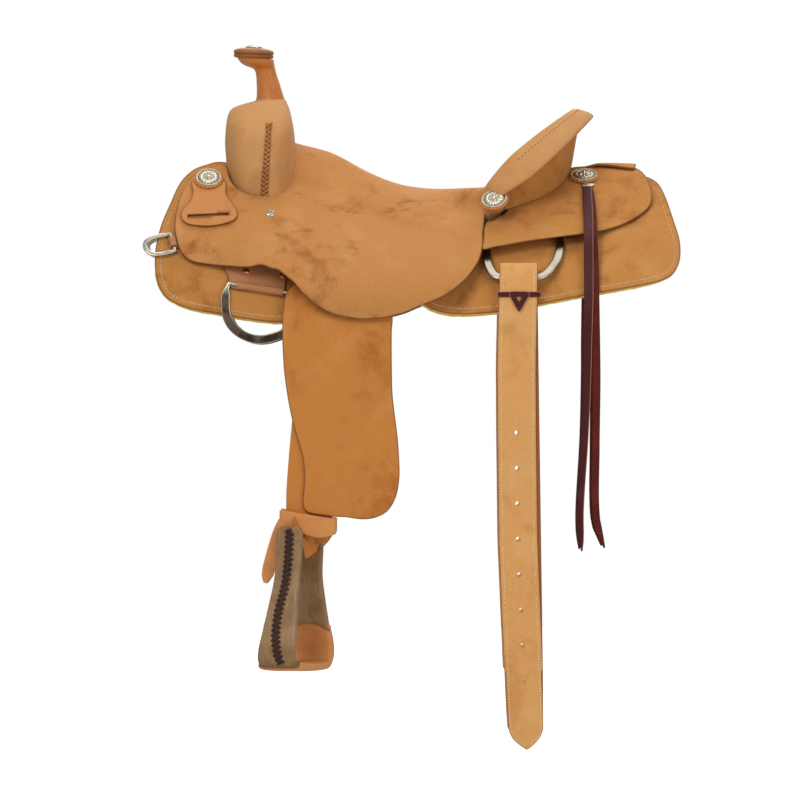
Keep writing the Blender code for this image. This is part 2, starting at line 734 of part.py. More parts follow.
def make_cantle_roll():
    rings = []
    for k in range(25):
        angle = math.pi / 2 * (k / 12 - 1)
        inner, outer = roll_inner(angle), roll_outer(angle)
        ahead = roll_inner(angle + 0.02) - roll_inner(angle - 0.02)
        across = (outer - inner).normalized()
        up = ahead.cross(across).normalized()
        up = up if up.z > 0 else -up
        rings.append(rounded_ring((inner + outer) / 2, across, up, (outer - inner).length / 2,
                                  ROLL_THICKNESS / 2, 10, 2.6))
    object_from(loft(rings), "cantle_roll", "roughout_pale")


def height_over(surface, x, y):
    """Height at which a folded surface reaches a half width."""
    low, high = -120.0, 140.0
    for _ in range(20):
        z = (low + high) / 2
        low, high = (z, high) if surface(x, z) > abs(y) else (low, z)
    return z


CANTLE_BACK_LEATHER = 4.0
CANTLE_LINING = 3.0
CANTLE_WALL = 7.0
CANTLE_FOOT_PLAY = 1.5
CANTLE_SPINE_HALF = 20.0
CANTLE_SIDES = math.radians(74.0)


def cantle_wall_rings(inset_outer, inset_inner, top_drop):
    rings = []
    for k in range(17):
        angle = CANTLE_SIDES * (k / 8 - 1)
        c, s = math.cos(angle), math.sin(angle)
        edge = (roll_inner(angle) + roll_outer(angle)) / 2
        top = edge.z - ROLL_THICKNESS / 2 - top_drop
        out = Vector((c, s, 0)).normalized()
        head = Vector((edge.x, edge.y, top)) - out * 3
        foot = Vector((CANTLE_FRONT_X + CANTLE_DEPTH * c, (CANTLE_HALF_WIDTH - 4) * s, 0))
        ring = [head - out * inset_outer, head - out * inset_inner]
        for inset in (inset_inner, inset_outer):
            base = foot - out * inset
            reach = max(abs(base.y), CANTLE_SPINE_HALF)
            base.z = min(height_over(REAR_JOCKEY_OUTER, base.x, reach) + CANTLE_FOOT_PLAY, top - 4)
            ring.append(base)
        rings.append(ring)
    return loft(rings)


def make_cantle_wall():
    object_from(cantle_wall_rings(0.0, CANTLE_BACK_LEATHER, 1.5), "cantle_back", "roughout")
    inner = CANTLE_BACK_LEATHER + CANTLE_LINING
    object_from(cantle_wall_rings(inner, inner + CANTLE_WALL, 1.5), "tree_cantle", "wood")


# Tab over the spine, joining the two rear jockeys

TAB_X = (268.0, 304.0, 340.0)
TAB_HALF_Y = (14.0, 20.0, 27.0)
TAB_THICKNESS = 3.5
TAB_LIFT = 1.6


def make_spine_tab():
    crown = [height_over(REAR_JOCKEY_OUTER, x, TAB_HALF_Y[0] + 3) + TAB_LIFT for x in TAB_X]
    rings = []
    for y in (*(-v for v in TAB_HALF_Y[::-1]), *TAB_HALF_Y):
        near = [height_over(REAR_JOCKEY_OUTER, x, max(abs(y), TAB_HALF_Y[0] + 3)) for x in TAB_X]
        low = [Vector((x, y, min(z + TAB_LIFT, top))) for x, z, top in zip(TAB_X, near, crown)]
        rings.append(low + [p + Vector((0, 0, TAB_THICKNESS)) for p in low[::-1]])
    object_from(loft(rings), "spine_tab", "roughout")


# Conchos on their scalloped leather rosettes, and the latigo keepers under the front ones

KEEPER_OUTLINE = [
    (-301, 64), (-300, 46), (-305, 33), (-314, 24), (-317, 15), (-315, 7), (-307, 1), (-289, -2),
    (-272, -2), (-255, 1), (-241, 6), (-235, 13), (-237, 24), (-244, 34), (-251, 44), (-254, 64),
]
KEEPER_SLOT = [(-306, 10.5), (-306, 13.9), (-249, 17.0), (-249, 13.8)]
KEEPER_LIFT = 1.4


def seat_face(height):
    return lambda x, z: seat_y(x, z) + height * back_slant(x, z)


def make_latigo_keeper(side):
    inner = folded(seat_face(KEEPER_LIFT), grid=FINE_GRID)
    outer = folded(seat_face(KEEPER_LIFT + KEEPER_LEATHER), grid=FINE_GRID)
    outline = [Vector(p) for p in KEEPER_OUTLINE]
    keeper = draped("latigo_keeper_" + side_name(side), outline, inner, outer, side,
                    "smooth_leather", grid=FINE_GRID)
    low = [mirrored((x, 120.0, z), side) for x, z in KEEPER_SLOT]
    high = [mirrored((x, 260.0, z), side) for x, z in KEEPER_SLOT]
    slot = object_from(loft([low, high]), "cut_keeper_slot_" + side_name(side))
    boolean(keeper, slot)


def make_concho(name, centre, normal, side, rosette):
    """A rosette of leather with a domed silver concho on it, turned about its normal."""
    silver = rosette - (ROSETTE_RADIUS - CONCHO_RADIUS)
    profile = [(rosette, 0.0, True), (rosette, 2.4, True), (silver, 2.6, False),
               (silver - 1.5, 4.6, False), (silver * 0.5, CONCHO_HEIGHT, False)]
    bm = turned(profile, centre, normal, 20, lobes=10, lobe_depth=2.0)
    flip_side(bm, side)
    object_from(bm, name + side_name(side), "silver")


FRONT_CONCHO = (-277.0, 66.0)
CANTLE_CONCHO = ((137.0, CANTLE_HALF_WIDTH + 15.5, 25.5), (-0.10, 0.90, 0.42))
REAR_CONCHO = (CANTLE_FRONT_X + CANTLE_DEPTH + 19.0, 70.0)


def make_conchos(side):
    surface = seat_face(KEEPER_LIFT + KEEPER_LEATHER + 2 * GAP)
    centre, normal = on_surface(surface, *FRONT_CONCHO)
    make_concho("concho_front_", centre, normal, side, ROSETTE_RADIUS)
    make_concho("concho_cantle_", *CANTLE_CONCHO, side, ROSETTE_RADIUS - 2)
    centre, normal = on_surface(REAR_JOCKEY_OUTER, *REAR_CONCHO)
    make_concho("concho_rear_", centre + normal * 3 * GAP, normal, side, ROSETTE_RADIUS - 1)


# Dees of bent steel, each with its straight bar in a leather sleeve

DEE_RING = 8
SLEEVE_BORE = DEE_BAR_RADIUS + DEE_SLEEVE_PLAY
SLEEVE_RADIUS = SLEEVE_BORE + DEE_SLEEVE_WALL


def bar_end(place, height):
    x, z = place
    return Vector((x, SKIRT_OUTER(x, z) + height * back_slant(x, z), z))


def dee(name, side, ends, path, flat_y, half_band, half_thick, bar_radius, axis):
    """A closed ring: round along its bar, a flat band round the rest."""
    a, b = ends
    reach = 5.0
    slope_x = (flat_y(a.x + reach, a.z) - flat_y(a.x - reach, a.z)) / (2 * reach)
    slope_z = (flat_y(a.x, a.z + reach) - flat_y(a.x, a.z - reach)) / (2 * reach)
    normal = Vector((-slope_x, 1.0, -slope_z)).normalized()
    stations = [(a.lerp(b, t), bar_radius, bar_radius, 2.0) for t in (0.1, 0.9)]
    corner = (half_band + bar_radius) / 2
    stations.append((b, corner, (half_thick + bar_radius) / 2, 2.4))
    stations += [(Vector((x, flat_y(x, z), z)), half_band, half_thick, 3.0) for x, z in path]
    stations.append((a, corner, (half_thick + bar_radius) / 2, 2.4))
    rings = []
    for i, (point, wide, thick, power) in enumerate(stations):
        ahead = stations[(i + 1) % len(stations)][0] - stations[i - 1][0]
        across = normal.cross(ahead).normalized()
        rings.append(rounded_ring(point, across, normal, wide, thick, DEE_RING, power))
    bm = loft(rings, closed_path=True)
    flip_side(bm, side)
    return object_from(bm, name + side_name(side), "steel", mirrored(axis, side))


def holder(name, side, outline, thickness, ends, share):
    """Leather plate on the skirt, folded into a sleeve round a dee's bar."""
    inner = folded(back_layer(GAP), 2 * GAP)
    outer = folded(back_layer(GAP + thickness), 2 * GAP)
    plate = draped(name + side_name(side), [Vector(p) for p in outline], inner, outer, side,
                   "roughout_pale")
    a, b = (mirrored(p, side) for p in ends)
    start, end = a.lerp(b, share), b.lerp(a, share)
    label = name + side_name(side)
    boolean(plate, rod("join_sleeve_" + label, start, end, SLEEVE_RADIUS, 14), "UNION")
    before, after = a.lerp(b, -0.3), b.lerp(a, -0.3)
    boolean(plate, rod("cut_bore_" + label, before, after, SLEEVE_BORE, 12))


FRONT_BAR = [bar_end((-252.0, -86.4), 7.2), bar_end((-158.0, -99.6), 7.2)]
FRONT_RIM = Vector((-205.0, 251.5, -167.5))
FRONT_DEE_PATH = [
    (-153, -118), (-155, -138), (-165, -154), (-183, -164), (-205, -167.5), (-227, -164),
    (-245, -153), (-254, -136), (-256, -112),
]
FRONT_PLATE = [(-252, -60), (-243, -88), (-205, -92), (-168, -97), (-164, -62), (-205, -54)]

REAR_BAR = [bar_end((127.5, -30.0), 7.2), bar_end((232.0, -12.0), 7.2)]
REAR_RIM = Vector((172.0, 241.0, -74.5))
REAR_DEE_PATH = [
    (231, -34), (225, -54), (205, -74.5), (172, -74.5), (140, -74.5), (131, -66), (126, -50),
]
REAR_PLATE = [(144, -11), (142, -24), (180, -18), (214, -14), (222, 14), (182, 3)]

BREAST_BAR = [bar_end((-334.5, -12.0), 6.2), bar_end((-329.5, -37.0), 6.2)]
BREAST_DEE_PATH = [(-346, -42), (-361, -41), (-369.5, -32), (-365, -20), (-351, -12)]
BREAST_PLATE = [(-333, -17), (-330, -32), (-306, -30), (-308, -14)]


def leaning(ends, rim):
    """The plane through a bar and a point of the dee's rim, as a half width of the side view."""
    a, b = ends
    share = (rim.x - a.x) / (b.x - a.x)
    middle = a.lerp(b, share)
    lean = (rim.y - middle.y) / (middle.z - rim.z)

    def flat_y(x, z):
        on_bar = a.lerp(b, (x - a.x) / (b.x - a.x))
        return on_bar.y + (on_bar.z - z) * lean

    return flat_y


def level_along(ends):
    """The plane through an upright bar and the saddle's length."""
    a, b = ends
    return lambda x, z: a.y + (b.y - a.y) * (z - a.z) / (b.z - a.z)


def make_rigging(side):
    middle = FRONT_BAR[0].lerp(FRONT_BAR[1], 0.5)
    dee("front_dee_", side, FRONT_BAR, FRONT_DEE_PATH, leaning(FRONT_BAR, FRONT_RIM), 6.5, 1.75,
        DEE_BAR_RADIUS, middle)
    holder("front_rigging_", side, FRONT_PLATE, RIGGING_LEATHER, FRONT_BAR, 0.12)
    middle = REAR_BAR[0].lerp(REAR_BAR[1], 0.5)
    dee("rear_dee_", side, REAR_BAR, REAR_DEE_PATH, leaning(REAR_BAR, REAR_RIM), 6.5, 2.75,
        DEE_BAR_RADIUS, middle)
    holder("rear_rigging_", side, REAR_PLATE, RIGGING_LEATHER, REAR_BAR, 0.14)
    middle = BREAST_BAR[0].lerp(BREAST_BAR[1], 0.5)
    dee("breast_dee_", side, BREAST_BAR, BREAST_DEE_PATH, level_along(BREAST_BAR), 2.3, 2.3, 2.3,
        middle)
    holder("breast_tab_", side, BREAST_PLATE, 3.6, BREAST_BAR, 0.24)


# Flank billets, looped round the rims of the rear dees

BILLET_CENTRE_Z = (-773.0, -733.0, -645.0, -457.0, -60.0)
BILLET_CENTRE_X = (184.5, 182.0, 179.0, 171.3, 172.5)
BILLET_LOOP = [
    (253.8, -116), (248.8, -104), (240.8, -90), (233.4, -79), (228.8, -70), (228.8, -63),
    (233, -58.5), (240, -58), (247, -62), (252, -70), (255.5, -82), (258, -96), (260.4, -128),
    (260.6, -190), (260.6, -420),
]
BILLET_TIP = [(-645, 52), (-731, 51), (-745, 34), (-755, 15), (-758.5, 5)]
BILLET_HINGE = (172.0, 241.0, -74.5)
TIE_OUTLINE = [(142, -98.2), (202, -98.2), (202, -104.9), (184, -104.9), (172, -125.5),
               (160, -104.9), (142, -104.9)]


def billet_x(z):
    return table(z, BILLET_CENTRE_Z, BILLET_CENTRE_X)


def make_billet(side):
    flat = (1, 0, 0)
    stations = [((172.5, y, z), flat, BILLET_WIDTH - 1) for y, z in BILLET_LOOP[:11]]
    stations += [((billet_x(z), y, z), flat, BILLET_WIDTH) for y, z in BILLET_LOOP[11:]]
    stations += [((billet_x(z), 260.6, z), flat, width) for z, width in BILLET_TIP]
    billet = strap("billet_" + side_name(side), stations, BILLET_LEATHER, "roughout", side,
                   mirrored(BILLET_HINGE, side))
    for k in range(BILLET_HOLES):
        z = BILLET_FIRST_HOLE_Z - k * BILLET_HOLE_PITCH
        x = billet_x(z) - 2.0
        tool = rod("cut_hole_%d_%s" % (k, side_name(side)), mirrored((x, 250, z), side),
                   mirrored((x, 272, z), side), BILLET_HOLE_RADIUS, 10)
        boolean(billet, tool)
    front = BILLET_LEATHER / 2 + GAP + 0.2
    face = lambda x, z: lerp(260.4, 258.0, (z + 128) / 32) + front
    outline = [Vector(p) for p in TIE_OUTLINE]
    draped("billet_tie_" + side_name(side), outline, face, lambda x, z: face(x, z) + 1.8, side,
           "latigo", mirrored(BILLET_HINGE, side))


# Fenders and the stirrup leathers inside them

FENDER_OUTLINE = [
    (-161, -94), (-168, -116), (-170, -152), (-169, -188), (-166, -224), (-157, -277), (-145, -320),
    (-140, -339), (-138, -368), (-138, -412), (-107, -421), (-78, -423), (-54, -426), (-35, -423.4),
    (-18, -414), (-6, -394), (-1, -368), (-1, -344), (-3.5, -308), (-8, -272), (-11, -243),
    (-12, -200), (-12, -152), (-11, -132), (-20, -115),
]
FENDER_ARC_FROM = math.radians(-64.0)
FENDER_ARC_TO = math.radians(-118.0)
FENDER_ARC_PLAY = 1.4
LEATHER_PATH = [(-90, -83, 72), (-95, -96, 72), (-103, -144, 72), (-108.5, -192, 72), (-120, -288, 72),
                (-128, -384, 72), (-132, -425, 65), (-133, -436, 62)]
LEATHER_TURN = [(-134.5, -440, 12, 62), (-139, -444, 38, 57), (-143, -449, 60, 52),
                (-145, -458, 65, 50)]
LEATHER_SLEEVE = 9.5
BOLT_PLAY = 0.5


def fender_y(x, z):
    return table(z, FENDER_Z, FENDER_Y)


FENDER_OUTER = folded(fender_y)
FENDER_INNER = folded(lambda x, z: fender_y(x, z) - FENDER_LEATHER * 1.05)
BOLT_Y = 257.5


def turned_across(degrees):
    """Direction across the leather once it has turned to meet the stirrup."""
    angle = math.radians(degrees)
    return Vector((math.cos(angle), -math.sin(angle), 0.0))


def bolt_point(u):
    return Vector((BOLT_X, BOLT_Y, BOLT_Z)) + turned_across(math.degrees(STIRRUP_TURN)) * u


def make_fender(side):
    hinge = mirrored((HANGER_X, 250.0, HANGER_Z), side)
    outline = [Vector(p) for p in FENDER_OUTLINE]
    outline += hanger_arc(HANGER_RADIUS + FENDER_ARC_PLAY, FENDER_ARC_FROM, FENDER_ARC_TO, 7)
    draped("fender_" + side_name(side), outline, FENDER_INNER, FENDER_OUTER, side, "roughout",
           hinge)
    half = STIRRUP_LEATHER / 2 + GAP + 0.2
    stations = [((x, FENDER_INNER(x, z) - half, z), (1, 0, 0), width) for x, z, width in LEATHER_PATH]
    stations += [((x, BOLT_Y, z), turned_across(turn), width) for x, z, turn, width in LEATHER_TURN]
    leather = strap("stirrup_leather_" + side_name(side), stations, STIRRUP_LEATHER, "roughout",
                    side, hinge)
    label = "_leather_" + side_name(side)
    ends = [mirrored(bolt_point(u), side) for u in (-27.0, 27.0)]
    boolean(leather, rod("join_sleeve" + label, *ends, LEATHER_SLEEVE, 16), "UNION")
    ends = [mirrored(bolt_point(u), side) for u in (-60.0, 60.0)]
    boolean(leather, rod("cut_bore" + label, *ends, BOLT_RADIUS + BOLT_PLAY, 14))


# Hobble strap: a ring round the stirrup leather with its tail hanging in front

HOBBLE_CENTRE = (-133.0, 259.5)
HOBBLE_HALF_X = 38.0
HOBBLE_HALF_Y = 10.0
HOBBLE_WALL = 3.0
HOBBLE_TOP = ((-176, -93), (-411.5, -426))
HOBBLE_BOTTOM = ((-176, -160, -143, -126, -113, -93), (-427, -432, -441, -451, -453, -447))
HOBBLE_INNER_BOTTOM = -432.0
HOBBLE_TAIL = [(-165, -424, 16), (-176, -437, 17), (-184, -468, 17), (-189, -497, 17), (-192, -513, 13)]


def make_hobble(side):
    rings = []
    count = 20
    for k in range(count):
        angle = 2 * math.pi * (k + 0.5) / count
        c, s = math.cos(angle), math.sin(angle)
        bend = Vector((math.copysign(abs(c) ** 0.5, c), math.copysign(abs(s) ** 0.5, s)))
        inner = Vector((HOBBLE_CENTRE[0] + HOBBLE_HALF_X * bend.x,
                        HOBBLE_CENTRE[1] + HOBBLE_HALF_Y * bend.y))
        outer = Vector((HOBBLE_CENTRE[0] + (HOBBLE_HALF_X + HOBBLE_WALL) * bend.x,
                        HOBBLE_CENTRE[1] + (HOBBLE_HALF_Y + HOBBLE_WALL) * bend.y))
        top = table(inner.x, *HOBBLE_TOP)
        low = table(inner.x, *HOBBLE_BOTTOM)
        low = max(low, lerp(HOBBLE_INNER_BOTTOM, low, smooth((bend.y + 0.6) / 1.2)))
        rings.append([(outer.x, outer.y, top), (inner.x, inner.y, top), (inner.x, inner.y, low),
                      (outer.x, outer.y, low)])
    bm = loft(rings, closed_path=True)
    flip_side(bm, side)
    hinge = mirrored((HANGER_X, 250.0, HANGER_Z), side)
    hobble = object_from(bm, "hobble_strap_" + side_name(side), "roughout", hinge)
    y = HOBBLE_CENTRE[1] + HOBBLE_HALF_Y + HOBBLE_WALL
    stations = [((x, y, z), (1, 0, 0.25), width) for x, z, width in HOBBLE_TAIL]
    tail = strap("join_tail_" + side_name(side), stations, 3.0, None, side)
    boolean(hobble, tail, "UNION")


# Bell stirrups covered in rawhide, each with a leather tread and a bolt across its neck

STIRRUP_PATH = [
    (-33, 19, 12), (-33, 14, 26), (-33, 4, 36), (-34, -16, 37), (-38, -52, 40), (-46, -90, 46),
    (-55, -130, 55), (-60, -156, 60), (-58, -172, 62), (-46, -180, 62),
]
COVER_THICKNESS = 3.2
COVER_SKIRT = 10.0


def stirrup_point(u, w, v):
    """Place in the stirrup's own frame: u along the bolt, w fore and aft, v up from it."""
    along = turned_across(math.degrees(STIRRUP_TURN))
    across = Vector((-along.y, along.x, 0.0))
    return Vector((BOLT_X, BOLT_Y, BOLT_Z)) + along * u + across * w + Vector((0, 0, v))


def make_stirrup(side):
    hinge = mirrored((BOLT_X, BOLT_Y, BOLT_Z), side)
    half = STIRRUP_PATH + [(-u, v, depth) for u, v, depth in STIRRUP_PATH[::-1]]
    middle = stirrup_point(0, 0, 0)
    depth_way = (stirrup_point(0, 1, 0) - middle).normalized()
    rings = []
    for i, (u, v, depth) in enumerate(half):
        before, after = half[max(i - 1, 0)], half[min(i + 1, len(half) - 1)]
        ahead = stirrup_point(after[0], 0, after[1]) - stirrup_point(before[0], 0, before[1])
        through = ahead.cross(depth_way).normalized()
        rings.append(rounded_ring(stirrup_point(u, 0, v), depth_way, through, depth / 2,
                                  STIRRUP_WALL / 2, 12, 3.4))
    bm = loft(rings)
    flip_side(bm, side)
    stirrup = object_from(bm, "stirrup_" + side_name(side), "rawhide", hinge)
    ends = [mirrored(bolt_point(u), side) for u in (-60.0, 60.0)]
    boolean(stirrup, rod("cut_bore_stirrup_" + side_name(side), *ends, BOLT_RADIUS + BOLT_PLAY, 14))

    low = STIRRUP_WALL / 2 + 2 * GAP
    high = low + COVER_THICKNESS
    inside = STIRRUP_TREAD_DEPTH / 2 + 2 * GAP
    outside = inside + COVER_THICKNESS
    section = [(-outside, -COVER_SKIRT), (-outside, high), (outside, high), (outside, -COVER_SKIRT),
               (inside, -COVER_SKIRT), (inside, low), (-inside, low), (-inside, -COVER_SKIRT)]
    rings = []
    for u in (-42.0, 0.0, 42.0):
        rings.append([stirrup_point(u, w, v - STIRRUP_DROP) for w, v in section])
    bm = loft(rings)
    flip_side(bm, side)
    object_from(bm, "stirrup_tread_" + side_name(side), "smooth_leather", hinge)

    profile = [(9, -42, False), (9, -38.2, False), (BOLT_RADIUS, -38.2, False),
               (BOLT_RADIUS, 38.2, False), (9, 38.2, False), (9, 42, False)]
    axis = turned_across(math.degrees(STIRRUP_TURN))
    bm = turned(profile, middle, axis, 12)
    flip_side(bm, side)
    object_from(bm, "stirrup_bolt_" + side_name(side), "steel", hinge)


# Saddle strings hanging behind the rear conchos

STRING_RADIUS = 5.0
STRINGS = {
    "string_front_": [(267, 52), (269, 38), (270.5, 12), (270.5, -20), (270, -60), (270, -95),
                      (270, -125), (269.5, -170), (269, -213), (267, -307), (261, -417),
                      (262.5, -472)],
    "string_back_": [(281, 49), (283, 34), (284, 8), (284, -24), (285, -62), (285, -95),
                     (285, -125), (284.5, -180), (284, -230), (283, -322), (283.5, -423),
                     (293, -467)],
}
STRING_STEPS = 2


def string_path(points):
    """Route of a string: down over the jockey and the skirt, then hanging free."""
    route = []
    for x, z in points:
        on_jockey = REAR_JOCKEY_OUTER(x, z) + (STRING_RADIUS + 2) * back_slant(x, z)
        on_skirt = SKIRT_OUTER(x, max(z, -110.0)) + (STRING_RADIUS + 5) * back_slant(x, z)
        y = lerp(on_skirt, on_jockey, smooth((z + 60) / 45.0))
        route.append(Vector((x, max(y, 262.0) if z < -118 else y, z)))
    return curve_through(route, STRING_STEPS, closed=False)


def make_string(name, points, side):
    route = [mirrored(p, side) * MM for p in string_path(points)]
    data = bpy.data.curves.new(name, "CURVE")
    data.dimensions = "3D"
    data.bevel_depth = STRING_RADIUS * MM
    data.bevel_resolution = 1
    data.use_fill_caps = True
    line = data.splines.new("POLY")
    line.points.add(len(route) - 1)
    for point, place in zip(line.points, route):
        point.co = (*place, 1.0)
    line.use_smooth = True
    data.materials.append(material(name, "latigo"))
    string = bpy.data.objects.new(name, data)
    SADDLE.objects.link(string)


def build():
    clear_scene()
    hole = make_swell_and_fork()
    make_horn(hole)
    make_seat()
    make_ground_seat()
    make_cantle_roll()
    make_cantle_wall()
    make_spine_tab()
    for side in (-1, 1):
        make_skirt(side)
        make_fleece(side)
        make_tree_bar(side)
        make_rear_jockey(side)
        make_latigo_keeper(side)
        make_conchos(side)
        make_rigging(side)
        make_billet(side)
        make_fender(side)
        make_hobble(side)
        make_stirrup(side)
        for name, points in STRINGS.items():
            make_string(name + side_name(side), points, side)


build()
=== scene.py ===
import math
import bpy
import numpy as np
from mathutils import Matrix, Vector


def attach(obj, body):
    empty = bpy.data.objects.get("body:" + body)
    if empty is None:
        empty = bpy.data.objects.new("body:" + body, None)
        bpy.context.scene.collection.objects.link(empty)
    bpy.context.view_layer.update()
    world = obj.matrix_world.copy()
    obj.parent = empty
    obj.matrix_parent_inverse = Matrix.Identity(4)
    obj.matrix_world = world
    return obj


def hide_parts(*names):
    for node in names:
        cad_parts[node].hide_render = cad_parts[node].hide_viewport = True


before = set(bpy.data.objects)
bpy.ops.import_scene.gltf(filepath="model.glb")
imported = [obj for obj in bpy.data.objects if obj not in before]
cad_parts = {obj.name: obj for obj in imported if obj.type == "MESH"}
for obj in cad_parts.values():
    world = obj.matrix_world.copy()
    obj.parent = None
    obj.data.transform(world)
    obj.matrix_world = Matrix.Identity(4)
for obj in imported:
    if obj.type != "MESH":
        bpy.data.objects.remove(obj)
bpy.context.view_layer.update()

# Drawn in millimetres on the off side (+Y) and turned into metres when a piece is done.
# X runs from head to tail, Z up. The near side is the mirror image of the off side.

camera = {"distance": 36.0, "pixel": 0.00145, "frame": 800, "sensor": 36.0, "centre": (0.0, -0.2537),
          "plane": -0.10, "farthest": 400.0}
lamps = {
    "key": dict(place=(-1.6, -3.2, 2.2), size=2.2, power=62, aim=(0, 0, -0.2)),
    "fill": dict(place=(2.4, -3.0, 0.6), size=2.4, power=30, aim=(0, 0, -0.2)),
    "top": dict(place=(0.2, 0.4, 2.8), size=2.4, power=40, aim=(0, 0, 0)),
    "rear": dict(place=(0.5, 3.2, 1.2), size=2.4, power=40, aim=(0, 0, -0.2)),
}
sky = {"light": 0.29}
floor = {"height": -0.86, "size": 60.0, "tone": (0.8, 0.8, 0.8, 1), "rough": 0.9, "near": 1.0, "far": 3.6,
         "nearGlow": 0.45}


def aimed(name, data, place, aim):  # a camera or a lamp, turned to look at a point
    obj = bpy.data.objects.new(name, data)
    bpy.context.scene.collection.objects.link(obj)
    obj.location = place
    obj.rotation_euler = (Vector(aim) - obj.location).to_track_quat("-Z", "Y").to_euler()
    return obj


def addCamera():
    data = bpy.data.cameras.new("camera")
    width = camera["pixel"] * camera["frame"] * (camera["distance"] / (camera["distance"] + camera["plane"]))
    data.sensor_width = camera["sensor"]
    data.lens = camera["sensor"] * camera["distance"] / width
    data.clip_end = camera["farthest"]
    x, z = camera["centre"]
    bpy.context.scene.camera = aimed("camera", data, (x, -camera["distance"], z), (x, 0, z))


def addLamps():
    for name, lamp in lamps.items():
        data = bpy.data.lights.new(name, "AREA")
        data.shape = "DISK"
        data.size = lamp["size"]
        data.energy = lamp["power"]
        aimed(name, data, lamp["place"], lamp["aim"])


def addWorld():  # white where the camera, metal and glass see it, and a plain soft light elsewhere
    world = bpy.data.worlds.new("studio")
    bpy.context.scene.world = world
    world.use_nodes = True
    tree = world.node_tree
    shown = tree.nodes["Background"]
    shown.inputs["Color"].default_value = (1, 1, 1, 1)
    lit = tree.nodes.new("ShaderNodeBackground")
    lit.inputs["Color"].default_value = (1, 1, 1, 1)
    lit.inputs["Strength"].default_value = sky["light"]
    path = tree.nodes.new("ShaderNodeLightPath")
    seen = path.outputs["Is Camera Ray"]
    for ray in ("Is Glossy Ray", "Is Transmission Ray"):
        either = tree.nodes.new("ShaderNodeMath")
        either.operation = "MAXIMUM"
        tree.links.new(seen, either.inputs[0])
        tree.links.new(path.outputs[ray], either.inputs[1])
        seen = either.outputs[0]
    mix = tree.nodes.new("ShaderNodeMixShader")
    tree.links.new(seen, mix.inputs["Fac"])
    tree.links.new(lit.outputs[0], mix.inputs[1])
    tree.links.new(shown.outputs[0], mix.inputs[2])
    tree.links.new(mix.outputs[0], tree.nodes["World Output"].inputs["Surface"])


def addFloor():
    bpy.ops.mesh.primitive_plane_add(size=floor["size"], location=(0, 0, floor["height"]))
    ground = bpy.context.object
    ground.name = "floor"
    paint = bpy.data.materials.new("floorPaint")
    paint.use_nodes = True
    tree = paint.node_tree
    shader = tree.nodes["Principled BSDF"]
    shader.inputs["Base Color"].default_value = floor["tone"]
    shader.inputs["Roughness"].default_value = floor["rough"]
    path = tree.nodes.new("ShaderNodeLightPath")
    place = tree.nodes.new("ShaderNodeTexCoord")
    reach = tree.nodes.new("ShaderNodeVectorMath")
    reach.operation = "LENGTH"
    fade = tree.nodes.new("ShaderNodeMapRange")
    fade.interpolation_type = "SMOOTHSTEP"
    for socket, value in (("From Min", "near"), ("From Max", "far"), ("To Min", "nearGlow")):
        fade.inputs[socket].default_value = floor[value]
    strength = tree.nodes.new("ShaderNodeMath")
    strength.operation = "MULTIPLY"
    tree.links.new(place.outputs["Object"], reach.inputs[0])
    tree.links.new(reach.outputs["Value"], fade.inputs["Value"])
    tree.links.new(fade.outputs["Result"], strength.inputs[0])
    tree.links.new(path.outputs["Is Camera Ray"], strength.inputs[1])
    tree.links.new(strength.outputs["Value"], shader.inputs["Emission Strength"])
    shader.inputs["Emission Color"].default_value = (1, 1, 1, 1)
    ground.data.materials.append(paint)


bpy.context.scene.view_settings.view_transform = "Standard"
addCamera()
addLamps()
addWorld()
addFloor()
print("stage: camera, lamps and floor")


# Numbers and curves

def smooth(t):
    t = np.clip(t, 0.0, 1.0)
    return t * t * (3.0 - 2.0 * t)


def lerp(a, b, t):
    return a + (b - a) * t


def eased(x, xs, ys):  # value at x of a line through the points, eased between them
    xs, ys = np.array(xs, float), np.array(ys, float)
    x = np.clip(np.asarray(x, float), xs[0], xs[-1])
    i = np.clip(np.searchsorted(xs, x, side="right") - 1, 0, len(xs) - 2)
    return ys[i] + (ys[i + 1] - ys[i]) * smooth((x - xs[i]) / (xs[i + 1] - xs[i]))


def softened(x, xs, ys, reach):  # a line through the points with its corners averaged away
    x = np.asarray(x, float)
    return sum(np.interp(x + reach * k, xs, ys) for k in (-1, -0.5, 0, 0.5, 1)) / 5


def evenly(points, step, closed=True):  # points at an even pitch along a smooth curve
    pts = np.array(points, float)
    n = len(pts)
    fine = []
    for i in range(n if closed else n - 1):
        if closed:
            a, b, c, d = (pts[(i + k) % n] for k in (-1, 0, 1, 2))
        else:
            a, b, c, d = (pts[min(max(i + k, 0), n - 1)] for k in (-1, 0, 1, 2))
        span = np.linalg.norm(c - b)
        before, after = max(np.linalg.norm(b - a), 1e-3), max(np.linalg.norm(d - c), 1e-3)
        start = (c - a) * span / (span + before)
        end = (d - b) * span / (span + after)
        for k in range(10):
            t = k / 10
            fine.append((2 * t ** 3 - 3 * t ** 2 + 1) * b + (t ** 3 - 2 * t ** 2 + t) * start
                        + (-2 * t ** 3 + 3 * t ** 2) * c + (t ** 3 - t ** 2) * end)
    fine.append(fine[0] if closed else pts[-1])
    fine = np.array(fine)
    run = np.concatenate([[0], np.cumsum(np.linalg.norm(np.diff(fine, axis=0), axis=1))])
    count = max(int(round(run[-1] / step)), 3)
    at = np.linspace(0, run[-1], count + 1)[: count if closed else count + 1]
    return np.stack([np.interp(at, run, fine[:, k]) for k in range(fine.shape[1])], 1)


# The surfaces that the leather lies on, close to those of the solid model

